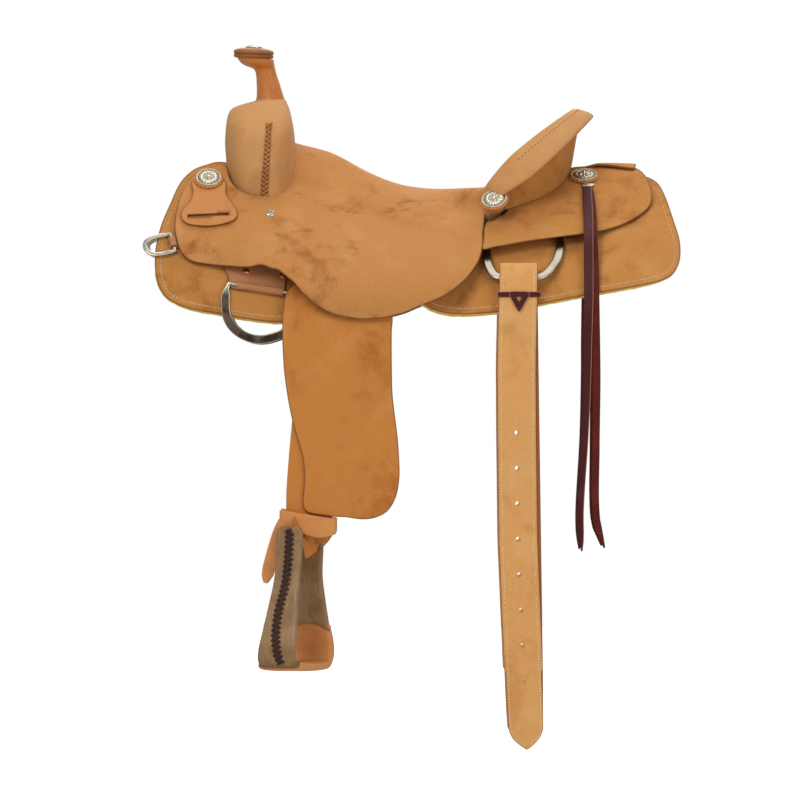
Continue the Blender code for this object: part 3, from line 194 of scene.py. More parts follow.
back = {"x": (-230, -40, 200), "widest": (244, 245, 258), "low": (-145, -150, -155),
        "curve": (0.00285, 0.00602, 0.00493)}
seatShape = {
    "topX": (-326, -200, -165, -149, -132, -101, -81, -51, -22, 7, 38, 58, 91, 124, 170),
    "topZ": (165, 165, 125, 119, 115, 107, 97, 80, 67, 58, 54, 53, 54, 55, 55),
    "round": 60.0, "roundGirth": 150.0, "shoulder": 0.3, "sideStep": 0.75,
    "frontRise": 9.5, "rearRise": 21.0,
    "bulgeZ": (-140, -110, -85, -45, 0, 60), "bulge": (27, 42, 48, 48, 40, 40),
    "ear": dict(x=138, z=34, long=16, tall=17, rise=12),  # a swelling that carries the cantle concho
}
cantle = {"frontX": 124.0, "depth": 125.0, "halfWidth": 150.0, "lowZ": 55.0, "rise": 112.0, "innerPower": 0.75,
          "outerPower": 1.2, "rollX": 32.0, "rollY": 25.0, "drop": 9.0, "thick": 9.0}
dish = {"girth": 75.0, "inset": 1.5, "below": 2, "power": 1.85, "sidePower": 0.6, "sideFrom": 60}


def backY(x, z):
    widest = eased(x, back["x"], back["widest"])
    low = eased(x, back["x"], back["low"])
    curve = eased(x, back["x"], back["curve"])
    return widest - curve * (z - low) * np.abs(z - low)


def slant(x, z):  # how much further along Y a layer moves than it is thick
    dz = (backY(x, z + 2) - backY(x, z - 2)) / 4
    dx = (backY(x + 2, z) - backY(x - 2, z)) / 4
    return np.sqrt(1 + dz * dz + dx * dx)


def overBack(height, lowest=0.6):  # a layer that lies on the horse's shape
    return lambda x, h, z: (x, np.maximum(backY(x, z) + (height + h) * slant(x, z), lowest + (h > 0)), z)


def seatRise(x, z):
    thin = lerp(seatShape["frontRise"], seatShape["rearRise"], smooth(x / 100)) * slant(x, z)
    middle = smooth((x + 290) / 125) * (1 - smooth((x - 45) / 85))
    foot = smooth((z + 30) / 60) * smooth((-140 - x) / 50)
    bulge = softened(z, seatShape["bulgeZ"], seatShape["bulge"], 8)
    return lerp(thin, bulge, middle * (1 - foot))


def seatY(x, z):
    side = np.maximum(backY(x, z) + seatRise(x, z), 1)
    wall = cantle["halfWidth"] * smooth((x - 20) / 95) * smooth((z + 60) / 70)
    ear = seatShape["ear"]
    swelling = ear["rise"] * np.exp(-((x - ear["x"]) / ear["long"]) ** 2 - ((z - ear["z"]) / ear["tall"]) ** 2)
    return (side ** 8 + np.maximum(wall, 1) ** 8) ** 0.125 + swelling


def seatTop(x):
    return softened(x, seatShape["topX"], seatShape["topZ"], 7)


def seatSection(x, girth):
    start = seatTop(x) - seatShape["round"]
    low = start - (girth - seatShape["roundGirth"]) * seatShape["sideStep"]
    angle = math.pi / 2 * np.clip(girth / seatShape["roundGirth"], 0, 1)
    power = 2 / lerp(2.0, 8.0, smooth((x - 30) / 94))
    z = start + seatShape["round"] * np.cos(angle) ** power
    reach = seatY(x, lerp(start, z, lerp(seatShape["shoulder"], 1.0, smooth((x - 30) / 70))))
    under = girth >= seatShape["roundGirth"]
    return x, np.where(under, seatY(x, low), reach * np.sin(angle) ** power), np.where(under, low, z)


dishHalf = float(seatSection(np.array(cantle["frontX"]), np.array(dish["girth"]))[1])


def seatPoint(x, girth):  # within the girth of the dish, the seat climbs to the rim of the cantle
    wide, high = seatSection(x, girth)[1:]
    frontWide, frontHigh = seatSection(np.full_like(x, cantle["frontX"]), girth)[1:]
    share = np.sqrt(np.maximum(0, 1 - (frontWide / dishHalf) ** 2))
    reach = (cantle["depth"] - dish["inset"]) * share
    rim = cantle["lowZ"] + cantle["rise"] * share ** cantle["innerPower"] - dish["below"]
    t = np.clip((x - cantle["frontX"]) / np.maximum(reach, 1), 0, 1)
    inDish = (x > cantle["frontX"]) & (girth <= dish["girth"])
    flare = 1 + ((cantle["halfWidth"] - dish["inset"]) / dishHalf - 1) * t
    power = dish["power"] - dish["sidePower"] * smooth(frontWide / dish["sideFrom"])
    height = frontHigh + (rim - frontHigh) * t ** power
    return np.stack([x, np.where(inDish, frontWide * flare, wide), np.where(inDish, height, high)], -1)


def onSeat(depth):  # girth is counted from the top line, below nought on the near side
    def place(x, h, girth):
        g = np.abs(girth)
        point = seatPoint(x, g)
        along = seatPoint(x + 3, g) - seatPoint(x - 3, g)
        down = seatPoint(x, g + 3) - seatPoint(x, np.maximum(g - 3, 0))
        inward = np.cross(down, along)
        inward /= np.maximum(np.linalg.norm(inward, axis=-1, keepdims=True), 1e-9)
        point = point + inward * (depth - h)[..., None]
        return point[..., 0], np.where(g < 0.01, 0, point[..., 1]) * np.sign(girth + 1e-12), point[..., 2]
    return place


def seatFace(height):
    return lambda x, h, z: (x, seatY(x, z) + (height + h) * slant(x, z), z)


def girthAt(x, z):
    start = float(seatTop(x)) - seatShape["round"]
    if z <= start:
        return seatShape["roundGirth"] + (start - z) / seatShape["sideStep"]
    share = min(max((z - start) / seatShape["round"], 0), 1)
    power = lerp(2.0, 8.0, float(smooth((x - 30) / 94)))
    return seatShape["roundGirth"] * math.acos(share ** (power / 2)) / (math.pi / 2)


def jockeyHeight(x, z):
    return lerp(lerp(15.5, 0.8, smooth((x - 240) / 80)), 10.8, smooth((z - 20) / 45))


def jockeyFace(height):
    def face(x, h, z):
        return x, np.maximum(backY(x, z) + (jockeyHeight(x, z) + height + h) * slant(x, z), 1.2), z
    return face


def fenderFace(height):
    line = ((-425, -150, -110, -80, -40), (264, 264, 258, 245, 222))
    return lambda x, h, z: (x, softened(z, *line, 14) + height + h, z)


def rollInner(angle):
    c, s = np.cos(angle), np.sin(angle)
    return np.stack([cantle["frontX"] + cantle["depth"] * c, cantle["halfWidth"] * s,
                     cantle["lowZ"] + cantle["rise"] * np.maximum(c, 0) ** cantle["innerPower"]], -1)


def rollOuter(angle):
    c, s = np.cos(angle), np.sin(angle)
    return np.stack([cantle["frontX"] + cantle["rollX"] + cantle["depth"] * c,
                     (cantle["halfWidth"] + cantle["rollY"]) * s,
                     cantle["lowZ"] - cantle["drop"] + cantle["rise"] * np.maximum(c, 0) ** cantle["outerPower"]], -1)


# Workshop: how a piece is started, shaped and finished

def startPiece():  # nothing selected, in object mode
    if bpy.context.object and bpy.context.object.mode != "OBJECT":
        bpy.ops.object.mode_set(mode="OBJECT")
    bpy.ops.object.select_all(action="DESELECT")


def only(obj):
    bpy.ops.object.select_all(action="DESELECT")
    obj.select_set(True)
    bpy.context.view_layer.objects.active = obj


def coords(obj):
    co = np.empty(len(obj.data.vertices) * 3)
    obj.data.vertices.foreach_get("co", co)
    return co.reshape(-1, 3)


def setCoords(obj, co):
    obj.data.vertices.foreach_set("co", np.ascontiguousarray(co, dtype=float).ravel())
    obj.data.update()


def mark(obj, name, values):  # a value on each vertex, for the materials
    layer = obj.data.attributes.get(name) or obj.data.attributes.new(name, "FLOAT", "POINT")
    layer.data.foreach_set("value", np.ascontiguousarray(values, dtype=np.float32))


def applyAll(obj):
    only(obj)
    for modifier in list(obj.modifiers):
        bpy.ops.object.modifier_apply(modifier=modifier.name)


edgeSteps = ((0.10, 0.30), (0.20, 0.14), (0.35, 0.06))  # inwards and upwards, as shares of the thickness
grooveSize = {"half": 0.9, "deep": 0.35}


def doubleArea(pts):  # twice an outline's area, above nought where it runs against the clock
    return np.sum(pts[:, 0] * np.roll(pts[:, 1], -1) - np.roll(pts[:, 0], -1) * pts[:, 1])


def cutLeather(name, outline, thick, pitch=12.0, rim=1.0, groove=None):  # a flat blank with rounded edges
    pts = np.array(outline, float)
    if doubleArea(pts) > 0:
        pts = pts[::-1]
    startPiece()
    bpy.ops.mesh.primitive_circle_add(vertices=len(pts), radius=10, fill_type="NGON")
    obj = bpy.context.object
    obj.name = name
    setCoords(obj, np.stack([pts[:, 0], np.zeros(len(pts)), pts[:, 1]], 1))
    bpy.ops.object.mode_set(mode="EDIT")
    bpy.ops.mesh.select_all(action="SELECT")
    for share, lift in edgeSteps:
        bpy.ops.mesh.inset(thickness=thick * share * rim, depth=thick * lift)
    if groove:
        half, deep = grooveSize["half"], grooveSize["deep"]
        bpy.ops.mesh.inset(thickness=groove - half - thick * 0.65 * rim, depth=0)
        bpy.ops.mesh.inset(thickness=half, depth=-deep)
        bpy.ops.mesh.inset(thickness=half, depth=deep)
    for line, normal in ((pts[:, 0], (1, 0, 0)), (pts[:, 1], (0, 0, 1))):  # cut across, so that it can bend
        low, high = line.min(), line.max()
        for k in range(int(low // pitch) - 1, int(high // pitch) + 2):
            at = (k + 0.37) * pitch
            if low < at < high:
                bpy.ops.mesh.select_all(action="SELECT")
                bpy.ops.mesh.bisect(plane_co=[v * at for v in normal], plane_no=normal, threshold=0.001)
    bpy.ops.mesh.select_all(action="SELECT")
    bpy.ops.mesh.duplicate()
    bpy.ops.transform.resize(value=(1, -1, 1), center_override=(0, 0, 0))
    bpy.ops.mesh.flip_normals()
    bpy.ops.mesh.select_all(action="SELECT")
    bpy.ops.mesh.remove_doubles(threshold=0.0002)
    bpy.ops.object.mode_set(mode="OBJECT")
    depth = np.abs(coords(obj)[:, 1]) / thick
    mark(obj, "edge", np.clip((0.49 - depth) / 0.15, 0, 1))
    return obj


def turnOutward(obj):
    only(obj)
    bpy.ops.object.mode_set(mode="EDIT")
    bpy.ops.mesh.select_all(action="SELECT")
    bpy.ops.mesh.normals_make_consistent(inside=False)
    bpy.ops.object.mode_set(mode="OBJECT")


def block(corners, way, slices=()):  # a closed block for cutting, drawn out of its first face
    bpy.ops.mesh.primitive_circle_add(vertices=len(corners), fill_type="NGON")
    obj = bpy.context.object
    setCoords(obj, np.array(corners))
    bpy.ops.object.mode_set(mode="EDIT")
    bpy.ops.mesh.select_all(action="SELECT")
    bpy.ops.mesh.extrude_region_move(TRANSFORM_OT_translate={"value": way})
    for x in slices:
        bpy.ops.mesh.select_all(action="SELECT")
        bpy.ops.mesh.bisect(plane_co=(x, 0, 0), plane_no=(1, 0, 0))
    bpy.ops.mesh.select_all(action="SELECT")
    bpy.ops.mesh.normals_make_consistent(inside=False)
    bpy.ops.object.mode_set(mode="OBJECT")
    return obj


def cutAway(obj, cutter, name):
    cut = obj.modifiers.new(name, "BOOLEAN")
    cut.object, cut.operation, cut.solver = cutter, "DIFFERENCE", "EXACT"
    applyAll(obj)
    discard(cutter)


def drape(obj, surface):  # lay a flat blank on a surface: its thickness becomes the height
    co = coords(obj)
    setCoords(obj, np.stack(surface(co[:, 0], co[:, 1], co[:, 2]), 1))


def skin(name, around, along, place, closedAround=True, closedAlong=False, caps=True):  # a grid laid by place(u, v)
    startPiece()
    bpy.ops.mesh.primitive_grid_add(x_subdivisions=around, y_subdivisions=along, size=1)
    obj = bpy.context.object
    obj.name = name
    co = coords(obj)
    u, v = co[:, 0] + 0.5, co[:, 1] + 0.5
    setCoords(obj, np.stack(place(u, v), 1))
    bpy.ops.object.mode_set(mode="EDIT")
    bpy.ops.mesh.select_all(action="SELECT")
    if closedAround or closedAlong:
        bpy.ops.mesh.remove_doubles(threshold=0.0005)
    if caps and not (closedAround and closedAlong):
        bpy.ops.mesh.select_all(action="DESELECT")
        bpy.ops.mesh.select_non_manifold(extend=False)
        bpy.ops.mesh.fill_holes(sides=0)
    bpy.ops.mesh.select_all(action="SELECT")
    bpy.ops.mesh.normals_make_consistent(inside=False)
    bpy.ops.object.mode_set(mode="OBJECT")
    return obj


def ringed(power, u):  # a ring between an ellipse (power 2) and a rounded rectangle
    angle = 2 * math.pi * u
    c, s = np.cos(angle), np.sin(angle)
    return np.sign(c) * np.abs(c) ** (2 / power), np.sign(s) * np.abs(s) ** (2 / power)


def unit(ways):
    return ways / np.linalg.norm(ways, axis=-1, keepdims=True)


def sweep(name, path, across, half, thick, power=4.0, around=20, closed=False):  # a strap or ring along a path
    path, across = np.array(path, float), np.array(across, float)
    n = len(path)
    ahead = np.roll(path, -1, 0) - np.roll(path, 1, 0)
    if not closed:
        ahead[0], ahead[-1] = path[1] - path[0], path[-1] - path[-2]
    ahead = unit(ahead)
    if across.ndim == 1:
        across = np.tile(across, (n, 1))
    lift = unit(np.cross(across, ahead))
    across = np.cross(ahead, lift)
    half, thick = np.broadcast_to(half, n), np.broadcast_to(thick, n)

    def place(u, v):
        i = np.rint(v * (n if closed else n - 1)).astype(int) % n
        c, s = ringed(power, u)
        p = path[i] + across[i] * (half[i] * c)[:, None] + lift[i] * (thick[i] * s)[:, None]
        return p[:, 0], p[:, 1], p[:, 2]
    return skin(name, around, n if closed else n - 1, place, closedAlong=closed)


def nearCopy(obj, name):  # the same piece on the near side
    copy = obj.copy()
    copy.data = obj.data.copy()
    copy.name = name
    bpy.context.scene.collection.objects.link(copy)
    co = coords(copy)
    co[:, 1] *= -1
    setCoords(copy, co)
    only(copy)
    bpy.ops.object.mode_set(mode="EDIT")
    bpy.ops.mesh.select_all(action="SELECT")
    bpy.ops.mesh.flip_normals()
    bpy.ops.object.mode_set(mode="OBJECT")
    return copy


def finishPiece(obj, name, body, nodes, paint, sharp=42):
    applyAll(obj)
    setCoords(obj, coords(obj) * 0.001)
    bpy.ops.object.shade_smooth_by_angle(angle=math.radians(sharp))
    obj.name = name
    obj.data.name = name
    if paint:
        obj.data.materials.clear()
        obj.data.materials.append(paint)
    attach(obj, body)
    if nodes:
        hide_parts(*nodes)
    return obj


def bothSides(obj, name, body, nodes, paint, sharp=42):
    near = nearCopy(obj, name + "Left")
    for piece, side in ((near, "left"), (obj, "right")):
        ridden = body if body == "saddle" else body + "_" + side
        finishPiece(piece, name + side.capitalize(), ridden, [n + "_" + side for n in nodes], paint, sharp)
    return near, obj


def repeat(name, source, places, along, up):  # copies of one small piece, laid at places
    co = coords(source)
    faces = [tuple(p.vertices) for p in source.data.polygons]
    places, along, up = (np.asarray(a, float) for a in (places, along, up))
    along = unit(along)
    side = unit(np.cross(up, along))
    up = np.cross(along, side)
    n, k = len(places), len(co)
    points = (places[:, None] + co[None, :, 0:1] * along[:, None] + co[None, :, 1:2] * side[:, None]
              + co[None, :, 2:3] * up[:, None]).reshape(-1, 3)
    mesh = bpy.data.meshes.new(name)
    mesh.from_pydata(points.tolist(), [], [tuple(i * k + v for v in f) for i in range(n) for f in faces])
    obj = bpy.data.objects.new(name, mesh)
    bpy.context.scene.collection.objects.link(obj)
    return obj


def discard(*objs):
    for obj in objs:
        bpy.data.objects.remove(obj, do_unlink=True)


def joined(name, *objs):
    only(objs[0])
    for obj in objs:
        obj.select_set(True)
    bpy.ops.object.join()
    objs[0].name = name
    return objs[0]


def nearest(co, path):  # the station of a path that each point is closest to
    return np.argmin(((co[:, None] - path[None]) ** 2).sum(-1), axis=1)


def addBall(segments, rings, size, order=(2, 0, 1)):  # a small ball drawn to its size, with its poles along X
    startPiece()
    bpy.ops.mesh.primitive_uv_sphere_add(segments=segments, ring_count=rings, radius=0.5)
    ball = bpy.context.object
    setCoords(ball, coords(ball)[:, list(order)] * size)
    return ball


# Finishes

def tone(r, g, b):  # a colour as seen on a screen, 0 to 255
    return tuple((c / 255 / 12.92 if c < 11 else ((c / 255 + 0.055) / 1.055) ** 2.4) for c in (r, g, b)) + (1.0,)


def newGroup(name, inputs, outputs):
    group = bpy.data.node_groups.new(name, "ShaderNodeTree")
    for label, kind, value in inputs:
        socket = group.interface.new_socket(name=label, in_out="INPUT", socket_type=kind)
        socket.default_value = value
    for label, kind in outputs:
        group.interface.new_socket(name=label, in_out="OUTPUT", socket_type=kind)
    return group, group.nodes.new("NodeGroupInput"), group.nodes.new("NodeGroupOutput")


def onObject(tree):
    return tree.nodes.new("ShaderNodeTexCoord").outputs["Object"]


def noise(tree, place, scale, detail=3.0, rough=0.5, distortion=0.0):
    node = tree.nodes.new("ShaderNodeTexNoise")
    node.inputs["Scale"].default_value = scale
    node.inputs["Detail"].default_value = detail
    node.inputs["Roughness"].default_value = rough
    node.inputs["Distortion"].default_value = distortion
    tree.links.new(place, node.inputs["Vector"])
    return node.outputs["Fac"]


def ramp(tree, value, low, high):
    node = tree.nodes.new("ShaderNodeMapRange")
    node.interpolation_type = "SMOOTHSTEP"
    node.inputs["From Min"].default_value = low
    node.inputs["From Max"].default_value = high
    tree.links.new(value, node.inputs["Value"])
    return node.outputs["Result"]


def maths(tree, kind, a, b=None):
    node = tree.nodes.new("ShaderNodeMath")
    node.operation = kind
    for socket, value in zip(node.inputs, (a, b)):
        if value is None:
            continue
        if isinstance(value, (int, float)):
            socket.default_value = value
        else:
            tree.links.new(value, socket)
    return node.outputs[0]


def times(tree, a, b):
    return maths(tree, "MULTIPLY", a, b)


def plus(tree, a, b):
    return maths(tree, "ADD", a, b)


def blendColour(tree, fac, a, b):
    node = tree.nodes.new("ShaderNodeMix")
    node.data_type = "RGBA"
    node.clamp_factor = True
    for socket, value in ((node.inputs[0], fac), (node.inputs[6], a), (node.inputs[7], b)):
        if isinstance(value, (int, float, tuple)):
            socket.default_value = value
        else:
            tree.links.new(value, socket)
    return node.outputs[2]


def stretched(tree, place, scale, turn=(0, 0, 0)):
    node = tree.nodes.new("ShaderNodeMapping")
    node.inputs["Scale"].default_value = scale
    node.inputs["Rotation"].default_value = turn
    tree.links.new(place, node.inputs["Vector"])
    return node.outputs["Vector"]


def makeHideGroup():
    group, given, out = newGroup("hide", [
        ("Tone", "NodeSocketColor", (0.5, 0.3, 0.1, 1)), ("Deep", "NodeSocketColor", (0.3, 0.15, 0.05, 1)),
        ("Pale", "NodeSocketColor", (0.7, 0.5, 0.3, 1)), ("Patches", "NodeSocketFloat", 0.6),
        ("Nap", "NodeSocketFloat", 1.0)],
        [("Color", "NodeSocketColor"), ("Height", "NodeSocketFloat"), ("Sheen", "NodeSocketFloat")])
    place = onObject(group)
    shade, dark, pale = (given.outputs[label] for label in ("Tone", "Deep", "Pale"))
    broad = noise(group, place, 8.5, 4.0, 0.62, 0.7)
    blotch = noise(group, place, 34.0, 4.0, 0.6, 0.4)
    cloud = noise(group, place, 16.0, 3.0, 0.55, 0.2)
    fibre = noise(group, stretched(group, place, (260, 260, 620), (0.2, 0.5, 0.1)), 1.0, 4.0, 0.65)
    nap = noise(group, place, 1500.0, 2.0, 0.6)
    speck = noise(group, place, 420.0, 2.0, 0.5)
    scar = noise(group, stretched(group, place, (30, 30, 150), (0.0, 0.9, 0.3)), 1.0, 1.0, 0.4, 1.5)
    dyed = ramp(group, plus(group, times(group, broad, 0.62), times(group, blotch, 0.38)), 0.50, 0.66)
    colour = blendColour(group, times(group, dyed, given.outputs["Patches"]), shade, dark)
    colour = blendColour(group, times(group, ramp(group, cloud, 0.5, 0.72), 0.55), colour, pale)
    grain = plus(group, times(group, fibre, 0.5), times(group, speck, 0.5))
    colour = blendColour(group, times(group, ramp(group, grain, 0.50, 0.72), 0.30), colour, dark)
    colour = blendColour(group, times(group, ramp(group, grain, 0.50, 0.30), 0.35), colour, pale)
    line = ramp(group, maths(group, "ABSOLUTE", maths(group, "SUBTRACT", scar, 0.5)), 0.006, 0.0)
    scratch = times(group, times(group, line, ramp(group, blotch, 0.52, 0.66)), 0.7)
    colour = blendColour(group, scratch, colour, pale)
    height = plus(group, times(group, nap, 0.5), times(group, grain, 0.9))
    height = plus(group, times(group, height, given.outputs["Nap"]), times(group, blotch, 0.8))
    group.links.new(colour, out.inputs["Color"])
    group.links.new(height, out.inputs["Height"])
    group.links.new(ramp(group, grain, 0.3, 0.7), out.inputs["Sheen"])
    return group


def newPaint(name, metallic=0.0, sheen=0.0, coat=0.0, gloss=0.5):
    paint = bpy.data.materials.new(name)
    paint.use_nodes = True
    shader = paint.node_tree.nodes["Principled BSDF"]
    shader.inputs["Metallic"].default_value = metallic
    shader.inputs["Sheen Weight"].default_value = sheen
    shader.inputs["Sheen Roughness"].default_value = 0.5
    shader.inputs["Coat Weight"].default_value = coat
    shader.inputs["Specular IOR Level"].default_value = gloss
    return paint, paint.node_tree, shader


def bumped(tree, shader, height, distance, strength=0.7):
    bump = tree.nodes.new("ShaderNodeBump")
    bump.inputs["Distance"].default_value = distance
    bump.inputs["Strength"].default_value = strength
    tree.links.new(height, bump.inputs["Height"])
    tree.links.new(bump.outputs["Normal"], shader.inputs["Normal"])


def roughened(tree, shader, value, low, high):
    rough = tree.nodes.new("ShaderNodeMapRange")
    rough.inputs["To Min"].default_value, rough.inputs["To Max"].default_value = low, high
    tree.links.new(value, rough.inputs["Value"])
    tree.links.new(rough.outputs["Result"], shader.inputs["Roughness"])


def attribute(tree, name):
    node = tree.nodes.new("ShaderNodeAttribute")
    node.attribute_name = name
    return node.outputs["Fac"]


# edge is the tone of the cut edges that cutLeather marks; where it is darker than the face, as on the seat, it is
# partly the edge dye and partly painted shade along the edges
hides = {
    "roughout": dict(tone=(197, 133, 66), deep=(160, 96, 40), pale=(208, 150, 84), edge=(112, 70, 44),
                     patches=0.75, nap=1.0, rough=(0.80, 0.95), gloss=0.3, bump=0.0007),
    "fenderLeather": dict(tone=(204, 130, 60), deep=(170, 98, 36), pale=(212, 146, 76), edge=(108, 66, 40),
                          patches=0.7, nap=0.9, rough=(0.78, 0.94), gloss=0.3, bump=0.0006),
    "seatLeather": dict(tone=(199, 136, 74), deep=(158, 92, 40), pale=(210, 152, 90), edge=(92, 56, 34),
                        patches=1.0, nap=1.0, rough=(0.78, 0.95), gloss=0.3, bump=0.0007),
    "swellLeather": dict(tone=(206, 150, 94), deep=(184, 126, 70), pale=(216, 168, 114), edge=(140, 94, 62),
                         patches=0.45, nap=1.2, rough=(0.85, 0.97), gloss=0.3, bump=0.0008),
    "weltLeather": dict(tone=(190, 126, 72), deep=(140, 84, 42), pale=(206, 148, 94), edge=(110, 66, 38),
                        patches=0.5, nap=0.8, rough=(0.75, 0.92), gloss=0.3, bump=0.0005),
    "riggingLeather": dict(tone=(182, 122, 78), deep=(150, 94, 56), pale=(196, 140, 96), edge=(96, 60, 40),
                           patches=0.5, nap=0.7, rough=(0.62, 0.85), gloss=0.3, bump=0.0005),
    "billetLeather": dict(tone=(226, 165, 98), deep=(200, 136, 72), pale=(232, 180, 118), edge=(140, 84, 46),
                          patches=0.5, nap=1.1, rough=(0.82, 0.96), gloss=0.3, bump=0.0007),
    "keeperLeather": dict(tone=(200, 129, 66), deep=(174, 102, 44), pale=(208, 144, 82), edge=(112, 64, 34),
                          patches=0.4, nap=0.15, rough=(0.5, 0.68), gloss=0.3, bump=0.0003),
    "hornLeather": dict(tone=(196, 120, 52), deep=(160, 86, 30), pale=(208, 138, 70), edge=(126, 72, 38),
                        patches=0.5, nap=0.12, rough=(0.32, 0.5), gloss=0.4, bump=0.0003),
    "hornCapLeather": dict(tone=(184, 118, 66), deep=(140, 82, 42), pale=(206, 150, 100), edge=(128, 80, 50),
                           patches=0.7, nap=0.4, rough=(0.5, 0.7), gloss=0.3, bump=0.0005),
    "treadLeather": dict(tone=(214, 142, 78), deep=(186, 108, 50), pale=(222, 160, 98), edge=(136, 80, 44),
                         patches=0.5, nap=0.25, rough=(0.42, 0.62), gloss=0.35, bump=0.0004),
    # stringLeather's pale edge tone is the undyed cut edge, and on the front strings also a painted highlight
    "stringLeather": dict(tone=(66, 20, 18), deep=(36, 10, 10), pale=(92, 32, 24), edge=(206, 142, 110),
                          patches=0.6, nap=0.3, rough=(0.5, 0.7), gloss=0.2, bump=0.0003),
    "redStringLeather": dict(tone=(88, 28, 18), deep=(52, 14, 10), pale=(112, 42, 28), edge=(150, 84, 60),
                             patches=0.6, nap=0.3, rough=(0.6, 0.8), gloss=0.15, bump=0.0003),
    "laceLeather": dict(tone=(56, 32, 22), deep=(30, 16, 11), pale=(78, 50, 34), edge=(100, 70, 50),
                        patches=0.5, nap=0.3, rough=(0.45, 0.65), gloss=0.25, bump=0.0003),
}


def makeHides():
    group = makeHideGroup()
    made = {}
    for name, hide in hides.items():
        paint, tree, shader = newPaint(name, gloss=hide["gloss"])
        node = tree.nodes.new("ShaderNodeGroup")
        node.node_tree = group
        node.inputs["Tone"].default_value = tone(*hide["tone"])
        node.inputs["Deep"].default_value = tone(*hide["deep"])
        node.inputs["Pale"].default_value = tone(*hide["pale"])
        node.inputs["Patches"].default_value = hide["patches"]
        node.inputs["Nap"].default_value = hide["nap"]
        # the marked edges take the edge tone: partly edge dye, partly painted shade along the edges
        dyedEdgeAndShade = times(tree, attribute(tree, "edge"), 0.9)
        colour = blendColour(tree, dyedEdgeAndShade, node.outputs["Color"], tone(*hide["edge"]))
        tree.links.new(colour, shader.inputs["Base Color"])
        roughened(tree, shader, node.outputs["Sheen"], *hide["rough"])
        bumped(tree, shader, node.outputs["Height"], hide["bump"])
        made[name] = paint
    return made


metals = {
    # polishedSteel's bright and dark tones are lit and shaded copies of one steel, for painted reflection and painted
    # shade
    "polishedSteel": dict(scuff=(300.0, 4.0, 0.6), smear=(40.0, 3.0, 0.6), bright=((184, 178, 166), (140, 132, 120)),
                          dark=((48, 40, 32), (92, 80, 66)), rough=(0.14, 0.34), bump=(0.00008, 0.3)),
    "engravedSilver": dict(tarnish=(260.0, 3.0, 0.6), share=0.25, bright=(196, 188, 166), dark=(50, 44, 34),
                           rough=(0.2, 0.55), bump=(0.0001, 0.4)),
}
plainPaints = {
    "copperRivet": dict(metallic=1.0, grain=(500.0, 3.0, 0.6), spread=(0.4, 0.7), rough=(0.22, 0.5),
                        tones=((206, 128, 84), (120, 66, 38)), bump=(0.0001, 0.4)),
    "waxedThread": dict(metallic=0.0, grain=(350.0, 2.0, 0.5), spread=(0.35, 0.7), rough=(0.55, 0.75),
                        tones=((240, 226, 196), (214, 190, 150)), bump=(0.0002, 0.5)),
}
shearling = {"curl": (220.0, 4.0, 0.6, 1.2), "tuft": (70.0, 3.0, 0.6, 0.6), "tones": ((232, 186, 84), (244, 212, 140)),
             "deep": (196, 140, 44), "edge": (248, 196, 48), "rough": (0.86, 1.0), "bump": (0.003, 0.9), "sheen": 0.3}
rawhides = {
    "rawhide": dict(tones=((152, 118, 72), (132, 94, 52)), streak=(170, 140, 94), vein=(98, 66, 36), coat=0.12),
    "treeRawhide": dict(tones=((206, 186, 146), (184, 160, 116)), streak=(216, 198, 160), vein=(150, 124, 84),
                        coat=0.15),
}


def makeSteel():
    metal = metals["polishedSteel"]
    paint, tree, shader = newPaint("polishedSteel", metallic=1.0)
    place = onObject(tree)
    scuff = noise(tree, place, *metal["scuff"])
    smear = noise(tree, place, *metal["smear"])
    bright = blendColour(tree, ramp(tree, smear, 0.4, 0.7), *(tone(*t) for t in metal["bright"]))
    dark = blendColour(tree, ramp(tree, smear, 0.35, 0.65), *(tone(*t) for t in metal["dark"]))
    # the deep mark picks the dark steel: on the dees this is painted reflection and painted shade, not recesses
    tree.links.new(blendColour(tree, attribute(tree, "deep"), bright, dark), shader.inputs["Base Color"])
    roughened(tree, shader, scuff, *metal["rough"])
    bumped(tree, shader, scuff, *metal["bump"])
    return paint


def makeSilver():
    metal = metals["engravedSilver"]
    paint, tree, shader = newPaint("engravedSilver", metallic=1.0)
    tarnish = noise(tree, onObject(tree), *metal["tarnish"])
    dulled = times(tree, ramp(tree, tarnish, 0.45, 0.75), metal["share"])
    shade = plus(tree, attribute(tree, "deep"), dulled)
    colour = blendColour(tree, shade, tone(*metal["bright"]), tone(*metal["dark"]))
    tree.links.new(colour, shader.inputs["Base Color"])
    roughened(tree, shader, shade, *metal["rough"])
    bumped(tree, shader, tarnish, *metal["bump"])
    return paint


def makePlain(name):
    plain = plainPaints[name]
    paint, tree, shader = newPaint(name, metallic=plain["metallic"])
    grain = noise(tree, onObject(tree), *plain["grain"])
    colour = blendColour(tree, ramp(tree, grain, *plain["spread"]), *(tone(*t) for t in plain["tones"]))
    tree.links.new(colour, shader.inputs["Base Color"])
    roughened(tree, shader, grain, *plain["rough"])
    bumped(tree, shader, grain, *plain["bump"])
    return paint


def makeFleece():
    paint, tree, shader = newPaint("shearling", sheen=shearling["sheen"])
    place = onObject(tree)
    curl = noise(tree, place, *shearling["curl"])
    tuft = noise(tree, place, *shearling["tuft"])
    colour = blendColour(tree, ramp(tree, tuft, 0.35, 0.7), *(tone(*t) for t in shearling["tones"]))
    colour = blendColour(tree, ramp(tree, curl, 0.5, 0.25), colour, tone(*shearling["deep"]))
    colour = blendColour(tree, attribute(tree, "edge"), colour, tone(*shearling["edge"]))
    tree.links.new(colour, shader.inputs["Base Color"])
    roughened(tree, shader, curl, *shearling["rough"])
    bumped(tree, shader, plus(tree, curl, tuft), *shearling["bump"])
    return paint


